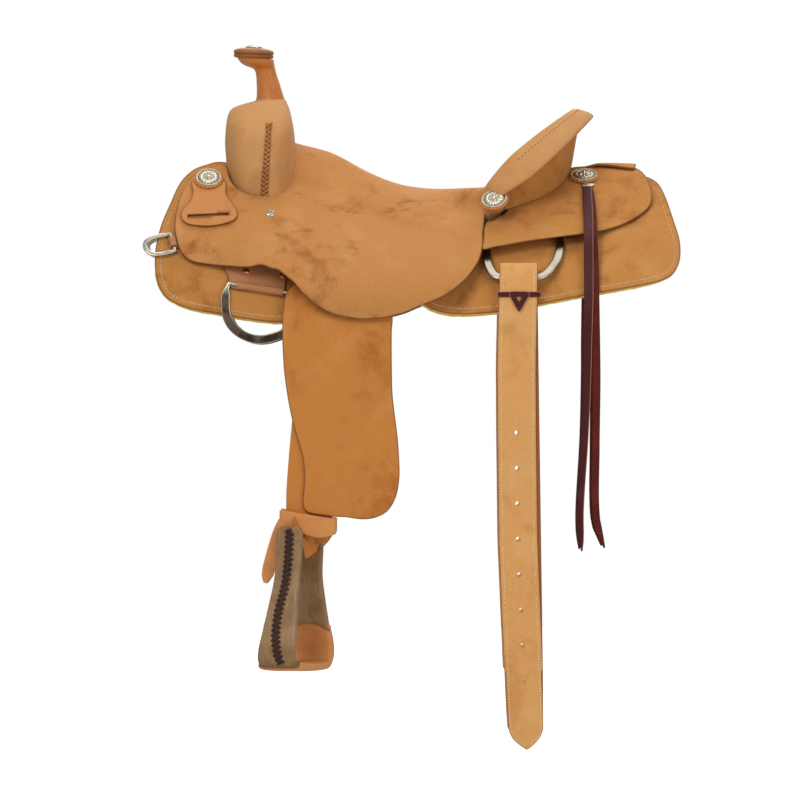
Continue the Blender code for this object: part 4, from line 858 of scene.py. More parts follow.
def makeRawhide(name):
    hide = rawhides[name]
    paint, tree, shader = newPaint(name, coat=hide["coat"])
    place = onObject(tree)
    broad = noise(tree, place, 22.0, 4.0, 0.6, 0.8)
    streak = noise(tree, stretched(tree, place, (140, 140, 22)), 1.0, 4.0, 0.6, 0.6)
    vein = noise(tree, place, 240.0, 4.0, 0.65)
    colour = blendColour(tree, ramp(tree, broad, 0.35, 0.68), *(tone(*t) for t in hide["tones"]))
    colour = blendColour(tree, times(tree, ramp(tree, streak, 0.5, 0.72), 0.6), colour, tone(*hide["streak"]))
    colour = blendColour(tree, times(tree, ramp(tree, vein, 0.52, 0.7), 0.3), colour, tone(*hide["vein"]))
    colour = blendColour(tree, attribute(tree, "edge"), colour, tone(*hide["vein"]))
    tree.links.new(colour, shader.inputs["Base Color"])
    roughened(tree, shader, streak, 0.36, 0.62)
    bumped(tree, shader, plus(tree, vein, times(tree, broad, 2.0)), 0.0008, 0.6)
    return paint


paints = makeHides()
paints["steel"] = makeSteel()
paints["silver"] = makeSilver()
paints["copper"] = makePlain("copperRivet")
paints["fleece"] = makeFleece()
paints["rawhide"] = makeRawhide("rawhide")
paints["treeRawhide"] = makeRawhide("treeRawhide")
paints["thread"] = makePlain("waxedThread")
print("stage: finishes")


# Strings: two flat thongs a side, hanging behind the rear conchos

strings = {
    "front": dict(points=((271, 55), (271.5, 38), (272.5, 12), (272.5, -20), (272.5, -60), (272.5, -95), (272, -125),
                          (271, -170), (270.5, -213), (267.5, -307), (261, -417), (262.5, -472)),
                  firstTurn=6, turn=18.0, width=(14.0, 9.0), sunk=0.0, paleEdgeAndHighlight=True, paint="stringLeather"),
    "back": dict(points=((274, 52), (277, 34), (279, 8), (280, -24), (281.5, -62), (282, -95), (282.5, -125),
                         (283.5, -180), (284, -230), (283, -322), (283.5, -423), (295, -467)),
                 firstTurn=-6, turn=-24.0, width=(12.0, 11.0), sunk=3.4, paleEdgeAndHighlight=False, paint="redStringLeather"),
}
stringSize = {"thick": 2.6, "tip": (3.4, 1.0), "hangY": 262.0}


def stringPath(points, sunk):
    route = []
    for x, z in points:
        x, z = np.array(float(x)), np.array(float(z))
        onJockey = jockeyFace(4.5)(x, 0, z)[1] + 7 * slant(x, z)
        onSkirt = backY(x, np.maximum(z, -110)) + 10 * slant(x, np.maximum(z, -110))
        y = float(lerp(onSkirt, onJockey, smooth((z + 60) / 45)))
        if z < -118:  # below the skirt it hangs free
            y = max(y, stringSize["hangY"])
        route.append((float(x), y - sunk * float(smooth((z + 260) / 120)), float(z)))
    return evenly(route, 14.0, closed=False)


def addStrings():
    for name, string in strings.items():
        path = stringPath(string["points"], string["sunk"])
        turn = np.radians(np.linspace(0, 1, len(path)) * string["turn"] + string["firstTurn"])
        across = np.stack([np.cos(turn), np.sin(turn), 0 * turn], 1)
        half = lerp(string["width"][0], string["width"][1], smooth((-path[:, 2] - 60) / 330)) / 2
        half[-2:] = stringSize["tip"]
        thong = sweep("string", path, across, half, stringSize["thick"] / 2, power=5, around=16)
        co = coords(thong)
        close = nearest(co, path)
        aside = ((co - path[close]) * across[close]).sum(-1) / half[close]
        # one edge of each front string is painted pale: partly its cut edge, partly a painted highlight
        mark(thong, "edge", np.clip((aside - 0.9) / 0.05, 0, 1) * string["paleEdgeAndHighlight"])
        near, off = bothSides(thong, "string" + name.capitalize(), "saddle", ["string_" + name],
                              paints[string["paint"]])
        for piece, side in ((near, -1), (off, 1)):
            route = [(p[0] / 1000, p[1] * side / 1000, p[2] / 1000) for p in path]
            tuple(route[0])


addStrings()
print("stage: strings")


# Stitches: one is modelled, then laid along a row

stitch = {"pitch": 3.9, "length": 2.0, "width": 2.0, "height": 1.5}


def addStitchSource():
    return addBall(8, 5, (stitch["length"], stitch["width"], stitch["height"]))


def surfaceFrame(surface, x, z, height=0.0):  # points and outward directions on a surface
    h = np.full(len(x), height)

    def at(x, z):
        return np.stack(np.broadcast_arrays(*surface(x, h, z)), -1)
    ahead, upward = at(x + 1, z) - at(x - 1, z), at(x, z + 1) - at(x, z - 1)
    return at(x, z), unit(np.cross(upward, ahead))


def inset(outline, distance):  # an outline moved inwards
    pts = np.array(outline, float)
    ahead = unit(np.roll(pts, -1, 0) - np.roll(pts, 1, 0))
    side = np.stack([-ahead[:, 1], ahead[:, 0]], 1) * np.sign(doubleArea(pts))
    return pts + side * distance


def stitchRow(track, surface, height):
    source = addStitchSource()
    x, z = track[:, 0], track[:, 1]
    p, up = surfaceFrame(surface, x, z, height)
    along = np.roll(p, -1, 0) - np.roll(p, 1, 0)
    along[0], along[-1] = p[1] - p[0], p[-1] - p[-2]
    rows = repeat("stitches", source, p, along, up)
    discard(source)
    return rows


# Skirts with their fleece

skirt = {
    "outline": [(-262, 92), (-280, 88), (-300, 80), (-318, 62), (-333, 30), (-346, -2), (-354, -40),
                (-352, -78), (-339, -104), (-309, -120), (-259, -130), (-212, -138), (-170, -141),
                (-146, -134), (-126, -112), (-90, -98), (-40, -96), (0, -100), (28, -112), (50, -124),
                (84, -130), (144, -126), (199, -116), (265, -103), (317, -94), (368, -84), (392, -74),
                (404, -54), (405, -24), (396, 8), (385, 42), (374, 62), (357, 71)],
    "spine": [(300, 72), (240, 71), (200, 58), (160, 42), (120, 28), (60, 22), (-40, 24), (-90, 30),
              (-140, 46), (-190, 68), (-230, 86)],
    "hidden": ((-262, -190, -90, 60, 160, 240, 300, 357), (78, 58, 20, 12, 32, 60, 60, 62)),  # no stitches above
    "thick": 5.0, "stitchInset": 8.5,
}


def addSkirts():
    outline = evenly(skirt["outline"] + skirt["spine"], 4.5)
    leather = cutLeather("skirt", outline, skirt["thick"], pitch=11.0, groove=skirt["stitchInset"])
    drape(leather, overBack(-skirt["thick"] / 2))
    bothSides(leather, "skirt", "saddle", ["skirt"], paints["roughout"])
    whole = inset(evenly(skirt["outline"] + skirt["spine"], 2.0), skirt["stitchInset"])
    keep = [tuple(p) for p in whole if not insideSpine(p)]
    first = max(range(len(keep)), key=lambda i: np.hypot(*(np.array(keep[i]) - np.array(keep[i - 1]))))
    track = evenly((keep[first:] + keep[:first])[::2], stitch["pitch"], closed=False)
    rows = stitchRow(track, overBack(-skirt["thick"] / 2), skirt["thick"] / 2 - 0.15)
    bothSides(rows, "skirtStitches", "saddle", [], paints["thread"])


def insideSpine(p):
    return p[1] > np.interp(p[0], *skirt["hidden"])


fleece = {"pile": 12.0, "rim": 2.0, "gap": 0.4, "belowSpine": 14, "top": (74, 62), "seed": 11, "waves": 5,
          "lumps": (26.0, 13.0, 8.0), "push": (0.6, 1.8, 0.5)}


def wool(co):  # the height of the fleece's lumps at points
    seed = np.random.default_rng(fleece["seed"])
    lumps = np.zeros(len(co))
    broadest = fleece["lumps"][0]
    for size in fleece["lumps"]:
        for _ in range(fleece["waves"]):
            way = seed.normal(size=3)
            way *= 2 * math.pi / size / np.linalg.norm(way)
            lumps += np.sin(co @ way + seed.uniform(0, 6.28)) / fleece["waves"] * (size / broadest) ** 0.4
    return lumps


def addFleece():
    outline = skirt["outline"][:-1] + [(366, 60)] + [(x, z - fleece["belowSpine"]) for x, z in skirt["spine"]]
    outline = evenly(outline, 5.0)
    rim = np.interp(outline[:, 1], (-95, -40), (-fleece["rim"], 1.5))
    front, rear = fleece["top"]
    outline = [(x, min(z, front if x < 0 else rear)) for x, z in inset(outline, rim[:, None])]
    felt = cutLeather("fleece", outline, fleece["pile"], pitch=7.5, rim=0.6)
    co = coords(felt)
    lumps = wool(co)
    onRim = 1 - np.abs(co[:, 1]) / (fleece["pile"] / 2) > 0.05
    under = co[:, 1] < -1
    co[:, 1] -= np.where(under, fleece["push"][1] * lumps, 0)
    for axis in (0, 2):
        co[:, axis] += np.where(onRim, fleece["push"][axis] * lumps, 0)
    setCoords(felt, co)
    drape(felt, overBack(-skirt["thick"] - fleece["gap"] - fleece["pile"] / 2))
    bothSides(felt, "fleece", "saddle", ["fleece"], paints["fleece"], sharp=80)


addSkirts()
addFleece()
print("stage: skirts")


# Seat

seat = {
    "flap": [(-164, 66), (-172, 54), (-184, 46), (-203, 43), (-224, 47), (-238, 56), (-246, 68), (-252, 87),
             (-264, 88), (-279, 83), (-291, 78), (-300, 72), (-310, 60), (-319, 40), (-325, 15), (-326, -5),
             (-323, -22), (-315, -42), (-300, -53), (-280, -57), (-250, -60), (-215, -61), (-190, -62),
             (-172, -68), (-156, -81), (-141, -99), (-122, -116), (-98, -129), (-66, -136), (-32, -136),
             (0, -130), (34, -116), (64, -103), (90, -84), (105, -67), (116, -47), (120, -24), (121, -4),
             (127, 7), (140, 14), (150, 21), (154, 32)],
    "thick": 4.5, "front": -156.0,
}


def seatOutline():
    front = [(seat["front"], g) for g in (0, 30, 60, 90)]
    rim = []
    for k in range(12):
        angle = math.pi / 2 * k / 12
        x = cantle["frontX"] + (cantle["depth"] - dish["inset"]) * math.cos(angle)
        y, low, high = dishHalf * math.sin(angle), 0.0, dish["girth"]
        for _ in range(24):
            g = (low + high) / 2
            near = float(seatSection(np.array(cantle["frontX"]), np.array(g))[1]) < y
            low, high = (g, high) if near else (low, g)
        rim.append((x, g))
    rim.append((cantle["frontX"], dish["girth"]))
    flap = [(x, girthAt(x, z)) for x, z in seat["flap"]]
    return front[::-1] + rim + flap[::-1]


def addSeat():
    half = seatOutline()
    start = half.index((seat["front"], 0))
    line = half[start + 1:] + half[:start]
    off = evenly(line, 4.5, closed=False)
    outline = np.concatenate([off, off[::-1] * (1, -1)])
    leather = cutLeather("seat", outline, seat["thick"], pitch=9.0)
    drape(leather, onSeat(np.array(seat["thick"] / 2)))
    turnOutward(leather)
    finishPiece(leather, "seat", "saddle", ["seat_leather"], paints["seatLeather"], sharp=50)


# Swell, its braided welt, and the horn

swell = {
    "levels": (38, 55, 80, 105, 130, 150, 165, 173, 182),
    "halfY": (147, 151, 155.5, 156, 150, 132, 105, 80, 40),
    "front": (-250, -253, -254.5, -255, -254, -252.5, -249, -241, -208),
    "rear": (-154, -153, -152, -152, -153, -156, -159.5, -162, -166),
    "footLift": 20.0, "power": 3.6,
}
gullet = {"top": 126.0, "archZ": 80.0, "footZ": -60.0, "x": (-292.0, -118.0), "slice": 8.0, "at": -200.0, "gap": 1.2,
          "points": 12, "bare": 9}


def swellPoint(u, v):
    top = len(swell["levels"]) - 1
    order = np.arange(top + 1.0)
    level = np.clip(v * 1.12, 0, 1) * top
    z = softened(level, order, swell["levels"], 0.35)
    halfY = softened(level, order, swell["halfY"], 0.35)
    front = softened(level, order, swell["front"], 0.35)
    rear = softened(level, order, swell["rear"], 0.35)
    crown = np.clip((v * 1.12 - 1) / 0.12, 0, 1)
    shrink = np.sqrt(np.maximum(1 - crown ** 2, 0))
    c, s = ringed(lerp(swell["power"], 2.2, smooth((z - 140) / 43)), u)
    middle, half = (front + rear) / 2, (rear - front) / 2
    x = middle + half * c * shrink
    lift = np.abs(c) ** 3 * swell["footLift"] * (1 - smooth((z - 38) / 60))
    return x, halfY * s * shrink, z + lift + crown * 2.5


def underSwell(x, z):  # how far the gullet reaches from the middle line
    return backY(x, z) + gullet["gap"] * slant(x, z)


def addSwell():
    body = skin("swell", 96, 60, swellPoint)
    count, archZ, top = gullet["points"], gullet["archZ"], gullet["top"] + gullet["gap"]
    levels = [lerp(gullet["footZ"], archZ, k / (count - 1)) for k in range(count)]
    half = [(float(underSwell(np.array(gullet["at"]), np.array(z))), z) for z in levels]
    edge = half[-1][0]
    for k in range(1, count + 1):
        angle = math.pi / 2 * k / (count + 1)
        half.append((edge * math.cos(angle), archZ + (top - archZ) * math.sin(angle)))
    loop = half + [(-y, z) for y, z in half[::-1]]
    start, end = gullet["x"]
    slices = np.arange(start + gullet["slice"], end, gullet["slice"])
    cutter = block([(start, y, z) for y, z in loop], (end - start, 0, 0), slices)
    co = coords(cutter)
    low = np.minimum(co[:, 2], archZ)
    co[:, 1] *= underSwell(co[:, 0], low) / underSwell(np.full(len(co), gullet["at"]), low)
    setCoords(cutter, co)
    cutAway(body, cutter, "gullet")
    co = coords(body)
    rise = np.clip((co[:, 2] - archZ) / (top - archZ), 0, 1)
    arch = underSwell(co[:, 0], np.minimum(co[:, 2], archZ)) * np.sqrt(1 - rise ** 2)
    outside = np.interp(co[:, 2], swell["levels"], swell["halfY"]) - gullet["bare"]
    within = (np.abs(co[:, 1]) < arch + 0.6) & (np.abs(co[:, 1]) < outside)
    # the inside of the gullet is marked for the darker edge tone: painted shade under the fork
    mark(body, "edge", np.where(within & (co[:, 2] < gullet["top"] + 2), 0.8, 0.0))
    finishPiece(body, "swell", "saddle", ["swell_cover"], paints["swellLeather"], sharp=50)


welt = {"line": [(-190, 146.5), (-192, 114.5), (-193.6, 90), (-195.8, 61), (-196.5, 39.7)],
        "width": (8.5, 12.5), "pitch": 6.4, "strand": (8.6, 3.3, 2.6), "bow": 0.0336, "lift": 0.5, "bed": 0.9}


def onSwell(x, z):  # half width of the swell at places of the side view, from the nearest point of its skin
    out = []
    v = np.linspace(0.0, 0.95, 140)
    for px, pz in zip(x, z):
        best = None
        for u in np.linspace(0.05, 0.45, 81):
            sx, sy, sz = swellPoint(np.full(len(v), u), v)
            distance = (sx - px) ** 2 + (sz - pz) ** 2
            i = int(np.argmin(distance))
            if best is None or distance[i] < best[0]:
                best = (distance[i], sy[i])
        out.append(best[1])
    return np.array(out)


def addWelt():
    line = evenly(welt["line"], welt["pitch"] / 2, closed=False)
    y = onSwell(line[:, 0], line[:, 1])
    y = np.convolve(np.pad(y, 3, mode="edge"), np.ones(7) / 7, mode="valid")
    line = np.stack([line[:, 0], y, line[:, 1]], 1)
    strand = addBall(12, 8, welt["strand"])
    co = coords(strand)
    co[:, 1] += welt["bow"] * co[:, 0] ** 2
    setCoords(strand, co)
    ahead = unit(np.gradient(line, axis=0))
    out = unit(np.cross(ahead, (1.0, 0, 0)))
    out *= np.sign(out[:, 1:2])
    flat = np.cross(out, ahead)
    first, last = welt["width"]
    places, along = [], []
    for i in range(len(line)):
        side = 1 if i % 2 else -1
        width = lerp(first, last, i / len(line)) / 2
        places.append(line[i] + flat[i] * side * width * 0.48 + out[i] * welt["lift"])
        along.append(flat[i] * side * 0.75 - ahead[i] * 0.62)
    plait = repeat("welt", strand, places, along, out)
    bed = sweep("weltBed", line, flat, np.linspace(first, last, len(line)) / 2 * 0.92, welt["bed"], around=12)
    mark(plait, "edge", np.zeros(len(plait.data.vertices)))
    # the strip under the braid takes the dark edge tone all over: painted shade between the strands
    mark(bed, "edge", np.ones(len(bed.data.vertices)))
    whole = joined("welt", plait, bed)
    discard(strand)
    bothSides(whole, "welt", "saddle", [], paints["weltLeather"], sharp=60)


horn = {
    "levels": (179, 183.3, 194, 209, 221, 228, 231.5, 235.5, 242.6),
    "x": (-187.5, -188, -189.5, -192, -194.5, -196.5, -202.5, -207, -210.5),
    "halfX": (24, 21.0, 18.6, 16.6, 14.8, 15.6, 20.5, 24.8, 26.8),
    "halfY": (21, 19.0, 17.0, 15.0, 14.2, 15.3, 20.0, 24.0, 26.5),
    "capX": -213.0, "capZ": 242.4, "capRadius": 29.4, "tilt": 2.4,
    "cap": [(7, 0.6), (3.2, 1.0), (1.4, 1.8), (0.5, 3.2), (0.3, 4.8), (0.9, 5.9), (2.0, 6.45), (0.9, 7.0), (0, 8.0),
            (0, 9.6), (0.7, 11.2), (2.2, 12.6), (5, 13.9), (9, 14.9), (14, 15.6), (18, 15.9)],
    "capEnds": (0.6, 16.0), "discRadius": 12.5, "discEnds": (15.9, 20.0),
    "disc": [(0.8, 15.9), (0, 16.4), (0, 17.4), (0.6, 18.2), (1.4, 18.3), (2.2, 17.7), (3.0, 17.6), (4.2, 18.7),
             (6.5, 19.5), (9.5, 19.9)],
}


def turned(radius, steps, ends):  # half of a turned section, its steps measured inwards from the rim
    return [(0.01, ends[0])] + [(radius - inward, z) for inward, z in steps] + [(0.01, ends[1])]


def capPlace(u, v, profile):
    r = np.interp(v, np.linspace(0, 1, len(profile)), [p[0] for p in profile])
    z = np.interp(v, np.linspace(0, 1, len(profile)), [p[1] for p in profile])
    angle = 2 * math.pi * u
    t = math.radians(horn["tilt"])
    x, y = r * np.cos(angle), r * np.sin(angle)
    return horn["capX"] + x * math.cos(t) + z * math.sin(t), y, horn["capZ"] + z * math.cos(t) - x * math.sin(t)


def wrapPlace(u, v):
    order = np.arange(len(horn["levels"]) * 1.0)
    level = v * (len(order) - 1)
    x, z = softened(level, order, horn["x"], 0.4), softened(level, order, horn["levels"], 0.3)
    halfX, halfY = softened(level, order, horn["halfX"], 0.4), softened(level, order, horn["halfY"], 0.4)
    angle = 2 * math.pi * u
    x = x + halfX * np.cos(angle)
    share = smooth((level - 6) / 2)  # its top follows the cap's tilt
    z = z + share * (0.9 - (x - horn["capX"]) * math.tan(math.radians(horn["tilt"])))
    return x, halfY * np.sin(angle), z


def addHorn():
    wrap = skin("hornWrap", 64, 44, wrapPlace)
    finishPiece(wrap, "hornWrap", "saddle", ["horn_wrap"], paints["hornLeather"], sharp=60)
    section = turned(horn["capRadius"], horn["cap"], horn["capEnds"])
    cap = skin("hornCap", 72, 85, lambda u, v: capPlace(u, v, section))
    co = coords(cap)
    away = np.hypot(co[:, 0] - horn["capX"] - 0.5, co[:, 1])
    mark(cap, "edge", np.clip((away - (horn["capRadius"] - 3.4)) / 2, 0, 1) * 0.75)
    finishPiece(cap, "hornCap", "saddle", ["horn_cap"], paints["hornCapLeather"], sharp=50)
    section = turned(horn["discRadius"], horn["disc"], horn["discEnds"])
    disc = skin("hornConcho", 60, 60, lambda u, v: capPlace(u, v, section))
    co = coords(disc)
    x, y = co[:, 0] - horn["capX"] - 1, co[:, 1]
    angle, away = np.arctan2(y, x), np.hypot(x, y)
    petals = np.cos(angle * 8) * np.clip((away - 2) / 3, 0, 1) * np.clip((9.3 - away) / 2, 0, 1)
    co[:, 2] += 0.35 * petals * (co[:, 2] > 257)
    setCoords(disc, co)
    mark(disc, "deep", np.clip(0.35 - petals * 0.6, 0, 1) * (away < 10) + (np.abs(away - 9.9) < 0.6) * 0.5)
    finishPiece(disc, "hornConcho", "saddle", ["horn_cap_concho"], paints["silver"], sharp=60)


addSeat()
print("stage: seat")
addSwell()
addWelt()
addHorn()
print("stage: swell and horn")


# Rear jockeys and the tab over the spine

jockey = {
    "outline": [(344, 83), (356, 73), (363, 58), (366, 42), (361, 26), (343, 11), (317, -2), (283, -11),
                (239, -17), (187, -24), (136, -33), (119, -36), (120.6, -20), (121, -4), (127, 7), (140, 12),
                (153, 18), (158, 34), (200, 66), (235, 80), (258, 85.5), (312, 85.5)],
    "thick": 4.5,
}
tab = {
    "outline": [(268, -14), (304, -20), (334, -27), (341, -26), (343, 0), (341, 26), (334, 27), (304, 20), (268, 14),
                (264, 0)],
    "thick": 3.5, "lift": 1.6, "flat": 17.0, "crown": 1.6, "frontDrop": 4.5, "arch": 1.2,
}


def addJockeys():
    leather = cutLeather("jockey", evenly(jockey["outline"], 4.5), jockey["thick"], pitch=10.0)
    drape(leather, jockeyFace(jockey["thick"] / 2))
    bothSides(leather, "jockey", "saddle", ["rear_jockey"], paints["roughout"])


def crestHeight(x, y):  # height at which the jockeys' outer face reaches a half width
    low, high = np.full(x.shape, -120.0), np.full(x.shape, 140.0)
    for _ in range(24):
        z = (low + high) / 2
        wide = jockeyFace(4.5)(x, 0, z)[1] > np.abs(y)
        low, high = np.where(wide, z, low), np.where(wide, high, z)
    return z


def addTab():
    leather = cutLeather("tab", evenly(tab["outline"], 3.0), tab["thick"], pitch=6.0)

    def place(x, h, y):
        z = crestHeight(x, np.maximum(np.abs(y), tab["flat"])) + tab["lift"] + tab["thick"] / 2
        z += tab["crown"] * (1 - np.clip(np.abs(y) / tab["flat"], 0, 1) ** 2)
        z += tab["arch"] * np.sin((x - 264) / 79 * math.pi) - tab["frontDrop"] * smooth((290 - x) / 26)
        return x, y, z + h
    drape(leather, place)
    turnOutward(leather)
    finishPiece(leather, "spineTab", "saddle", ["spine_tab"], paints["roughout"])


addJockeys()
addTab()


# Cantle: the roll and the leather behind it

roll = {"end": 0.80, "round": 0.035, "shrink": 0.2, "low": (-4.0, 0.0, -8.0), "crown": 0.9, "power": 3.0,
        "stitches": 64, "stitchSize": (1.0, 0.9, 0.7), "seam": 0.288}
cantleBack = {"sweep": 86, "thick": 4.0, "below": 0.5, "inwards": 3, "footIn": 4, "footLift": 1.5}


def rollPlace(u, v):
    side = np.abs(v * 2 - 1)
    angle = math.pi / 2 * (v * 2 - 1) * 0.999
    inner, outer = rollInner(angle), rollOuter(angle)
    ahead = rollInner(angle + 0.02) - rollInner(angle - 0.02)
    across = outer - inner
    half = np.linalg.norm(across, axis=-1, keepdims=True) / 2
    across /= 2 * half
    up = unit(np.cross(ahead, across))
    up *= np.where(up[..., 2:3] > 0, 1, -1)
    c, s = ringed(roll["power"], u)
    end = np.sqrt(np.clip(1 - np.clip((side - 1 + roll["round"]) / roll["round"], 0, 1) ** 2, 0.02, 1))
    crown = roll["crown"] * (1 - np.abs(c) ** 2.5) * (s > 0)
    ending = smooth((side - roll["end"]) / (1 - roll["end"]))[..., None]  # narrower and lower towards its tips
    shrink = roll["shrink"] * ending
    outer = lerp(outer, inner, shrink)
    p = (inner + outer) / 2 + ending * roll["low"] + across * half * (1 - shrink) * c[..., None]
    p = p + up * (((cantle["thick"] / 2 - 0.5) * s + crown) * end)[..., None]
    return p[..., 0], p[..., 1], p[..., 2]


def addRoll():
    leather = skin("cantleRoll", 40, 110, rollPlace)
    finishPiece(leather, "cantleRoll", "saddle", ["cantle_roll"], paints["swellLeather"], sharp=60)
    count = roll["stitches"]
    v = np.linspace(0.10, 0.90, count)
    seam, top, bottom = (np.stack(rollPlace(np.full(count, u), v), 1) for u in (roll["seam"], 0.25, 0.75))
    source = addStitchSource()
    setCoords(source, coords(source) * roll["stitchSize"])
    rows = repeat("rollStitches", source, seam, np.gradient(seam, axis=0), top - bottom)
    discard(source)
    finishPiece(rows, "rollStitches", "saddle", [], paints["laceLeather"], sharp=60)


def backPlace(u, v):  # the leather behind the roll, from its foot on the jockeys up to the roll
    angle = math.radians(cantleBack["sweep"]) * (u * 2 - 1)
    c, s = np.cos(angle), np.sin(angle)
    edge = (rollInner(angle) + rollOuter(angle)) / 2
    top = edge[..., 2] - cantle["thick"] / 2 - cantleBack["below"]
    headX, headY = edge[..., 0] - cantleBack["inwards"] * c, edge[..., 1] - cantleBack["inwards"] * s
    footX = cantle["frontX"] + cantle["depth"] * c
    footY = (cantle["halfWidth"] - cantleBack["footIn"]) * s
    foot = np.minimum(crestHeight(footX, np.maximum(np.abs(footY), 20.0)) + cantleBack["footLift"], top - 4)
    return lerp(footX, headX, v), lerp(footY, headY, v), lerp(foot, top, v)


def addCantleBack():
    wall = skin("cantleBack", 80, 24, backPlace, closedAround=False, caps=False)
    thicken = wall.modifiers.new("leather", "SOLIDIFY")
    thicken.thickness, thicken.offset = cantleBack["thick"], -1.0
    finishPiece(wall, "cantleBack", "saddle", ["cantle_back"], paints["roughout"], sharp=50)


addRoll()
addCantleBack()
print("stage: cantle")


# Latigo keepers, and the conchos on their scalloped rosettes

keeper = {
    "outline": [(-301, 64), (-300, 46), (-305, 33), (-314, 24), (-317, 15), (-315, 7), (-307, 1), (-289, -2),
                (-272, -2), (-255, 1), (-241, 6), (-235, 13), (-237, 24), (-244, 34), (-251, 44), (-254, 64)],
    "slot": [(-307, 10.2), (-307, 14.2), (-248, 17.3), (-248, 13.5)], "slotMiddle": (12.2, 15.4), "slotHalf": 2.4,
    "thick": 4.0, "lift": 1.0,
}


def addKeepers():
    leather = cutLeather("keeper", evenly(keeper["outline"], 3.0), keeper["thick"], pitch=5.0, rim=0.9)
    cutAway(leather, block([(x, -20.0, z) for x, z in keeper["slot"]], (0, 40, 0)), "slot")
    co = coords(leather)
    front, rear = keeper["slot"][0][0], keeper["slot"][2][0]
    along = (co[:, 0] > front - 0.4) & (co[:, 0] < rear + 0.4)
    beside = np.abs(co[:, 2] - np.interp(co[:, 0], (front, rear), keeper["slotMiddle"])) < keeper["slotHalf"]
    edge = np.zeros(len(co))
    leather.data.attributes["edge"].data.foreach_get("value", edge)
    mark(leather, "edge", np.maximum(edge, along & beside))
    drape(leather, seatFace(keeper["lift"] + keeper["thick"] / 2))
    bothSides(leather, "keeper", "saddle", ["latigo_keeper"], paints["keeperLeather"])


conchos = {
    "front": dict(rosette=21.5, place=(-277.0, 66.0), surface=seatFace(0), lift=5.6),
    "cantle": dict(rosette=21.5, centre=(137.0, 169.0, 35.0), normal=(-0.14, 0.68, 0.72)),
    "rear": dict(rosette=22.0, place=(267.0, 70.0), surface=jockeyFace(4.5), lift=0.6),
}
rosette = {"steps": [(1.6, 0), (0, 1.0), (0.4, 2.2), (1.8, 2.9), (5, 2.9)], "ends": (0, 2.9), "scallops": 22,
           "scallop": 1.5, "scallopFrom": 3.2}
disc = {
    "rim": [(0.5, 2.7), (0, 3.1), (0.2, 3.9), (1.2, 4.1), (1.8, 3.8), (3.4, 3.9), (4.2, 4.7), (5.0, 4.9)],
    "dome": [(0.5, 5.9), (0.25, 6.5)], "ends": (2.7, 6.7), "inFromRosette": 3.0, "flower": 2.2, "cutDeep": 0.75,
    "bead": (2.6, 1.9, 1.7), "beadPitch": 2.5, "beadHeight": 4.3, "beadSlant": 0.55,
}


def facing(normal):  # a direction, with two more at right angles to it and to each other
    n = unit(np.array(normal, float))
    u = unit(np.cross((0, 1, 0.0) if abs(n[1]) < 0.9 else (1, 0, 0.0), n))
    return n, u, np.cross(n, u)


def circle(u, v, angle):
    return u * np.cos(angle)[:, None] + v * np.sin(angle)[:, None]


def turnedPiece(name, section, centre, normal, around, along, shape=None):
    n, u1, v1 = facing(normal)
    rs, zs = np.array([p[0] for p in section]), np.array([p[1] for p in section])
    run = np.concatenate([[0], np.cumsum(np.hypot(np.diff(rs), np.diff(zs)))])
    stations = np.unique(np.concatenate([run, np.linspace(0, run[-1], along)]))

    def place(u, v):
        at = stations[np.rint(v * (len(stations) - 1)).astype(int)]
        r, z = np.interp(at, run, rs), np.interp(at, run, zs)
        angle = 2 * math.pi * u
        if shape:
            r, z = shape(r, z, angle)
        p = np.array(centre) + n * z[:, None] + circle(u1, v1, angle) * r[:, None]
        return p[:, 0], p[:, 1], p[:, 2]
    return skin(name, around, len(stations) - 1, place)


def between(t, start, end, ease):  # rises after the start and falls before the end
    return np.clip((t - start) / ease, 0, 1) * np.clip((end - t) / ease, 0, 1)


def engraving(r, angle, size):  # a flower of eight leaves in a ring of scrolls, all of one height map
    t = r / size
    leaves = np.clip(np.cos(angle * 4) ** 2 - 0.35, 0, 1)
    leaves = leaves * np.clip((t - 0.12) / 0.12, 0, 1) * np.clip((0.58 - t) / 0.1, 0, 1)
    vein = np.clip(np.abs(np.sin(angle * 4)) * 8, 0, 1)
    heart = np.clip((0.13 - t) / 0.05, 0, 1)
    ring = np.exp(-((t - 0.62) / 0.025) ** 2)
    scroll = np.clip(0.5 + 0.5 * np.sin(angle * 16 + t * 22), 0, 1) * between(t, 0.65, 0.82, 0.04)
    return np.maximum.reduce([leaves * vein, heart, ring, scroll * 0.8])


def addRosette(name, size, centre, normal):
    def scalloped(r, z, a):
        onRim = r > size - rosette["scallopFrom"]
        return r - rosette["scallop"] * onRim * (0.5 - 0.5 * np.cos(a * rosette["scallops"])), z
    section = turned(size, rosette["steps"], rosette["ends"])
    base = turnedPiece("rosette", section, centre, normal, 176, 14, scalloped)
    mark(base, "edge", np.zeros(len(base.data.vertices)))
    bothSides(base, "rosette" + name.capitalize(), "saddle", [], paints["keeperLeather"], sharp=60)


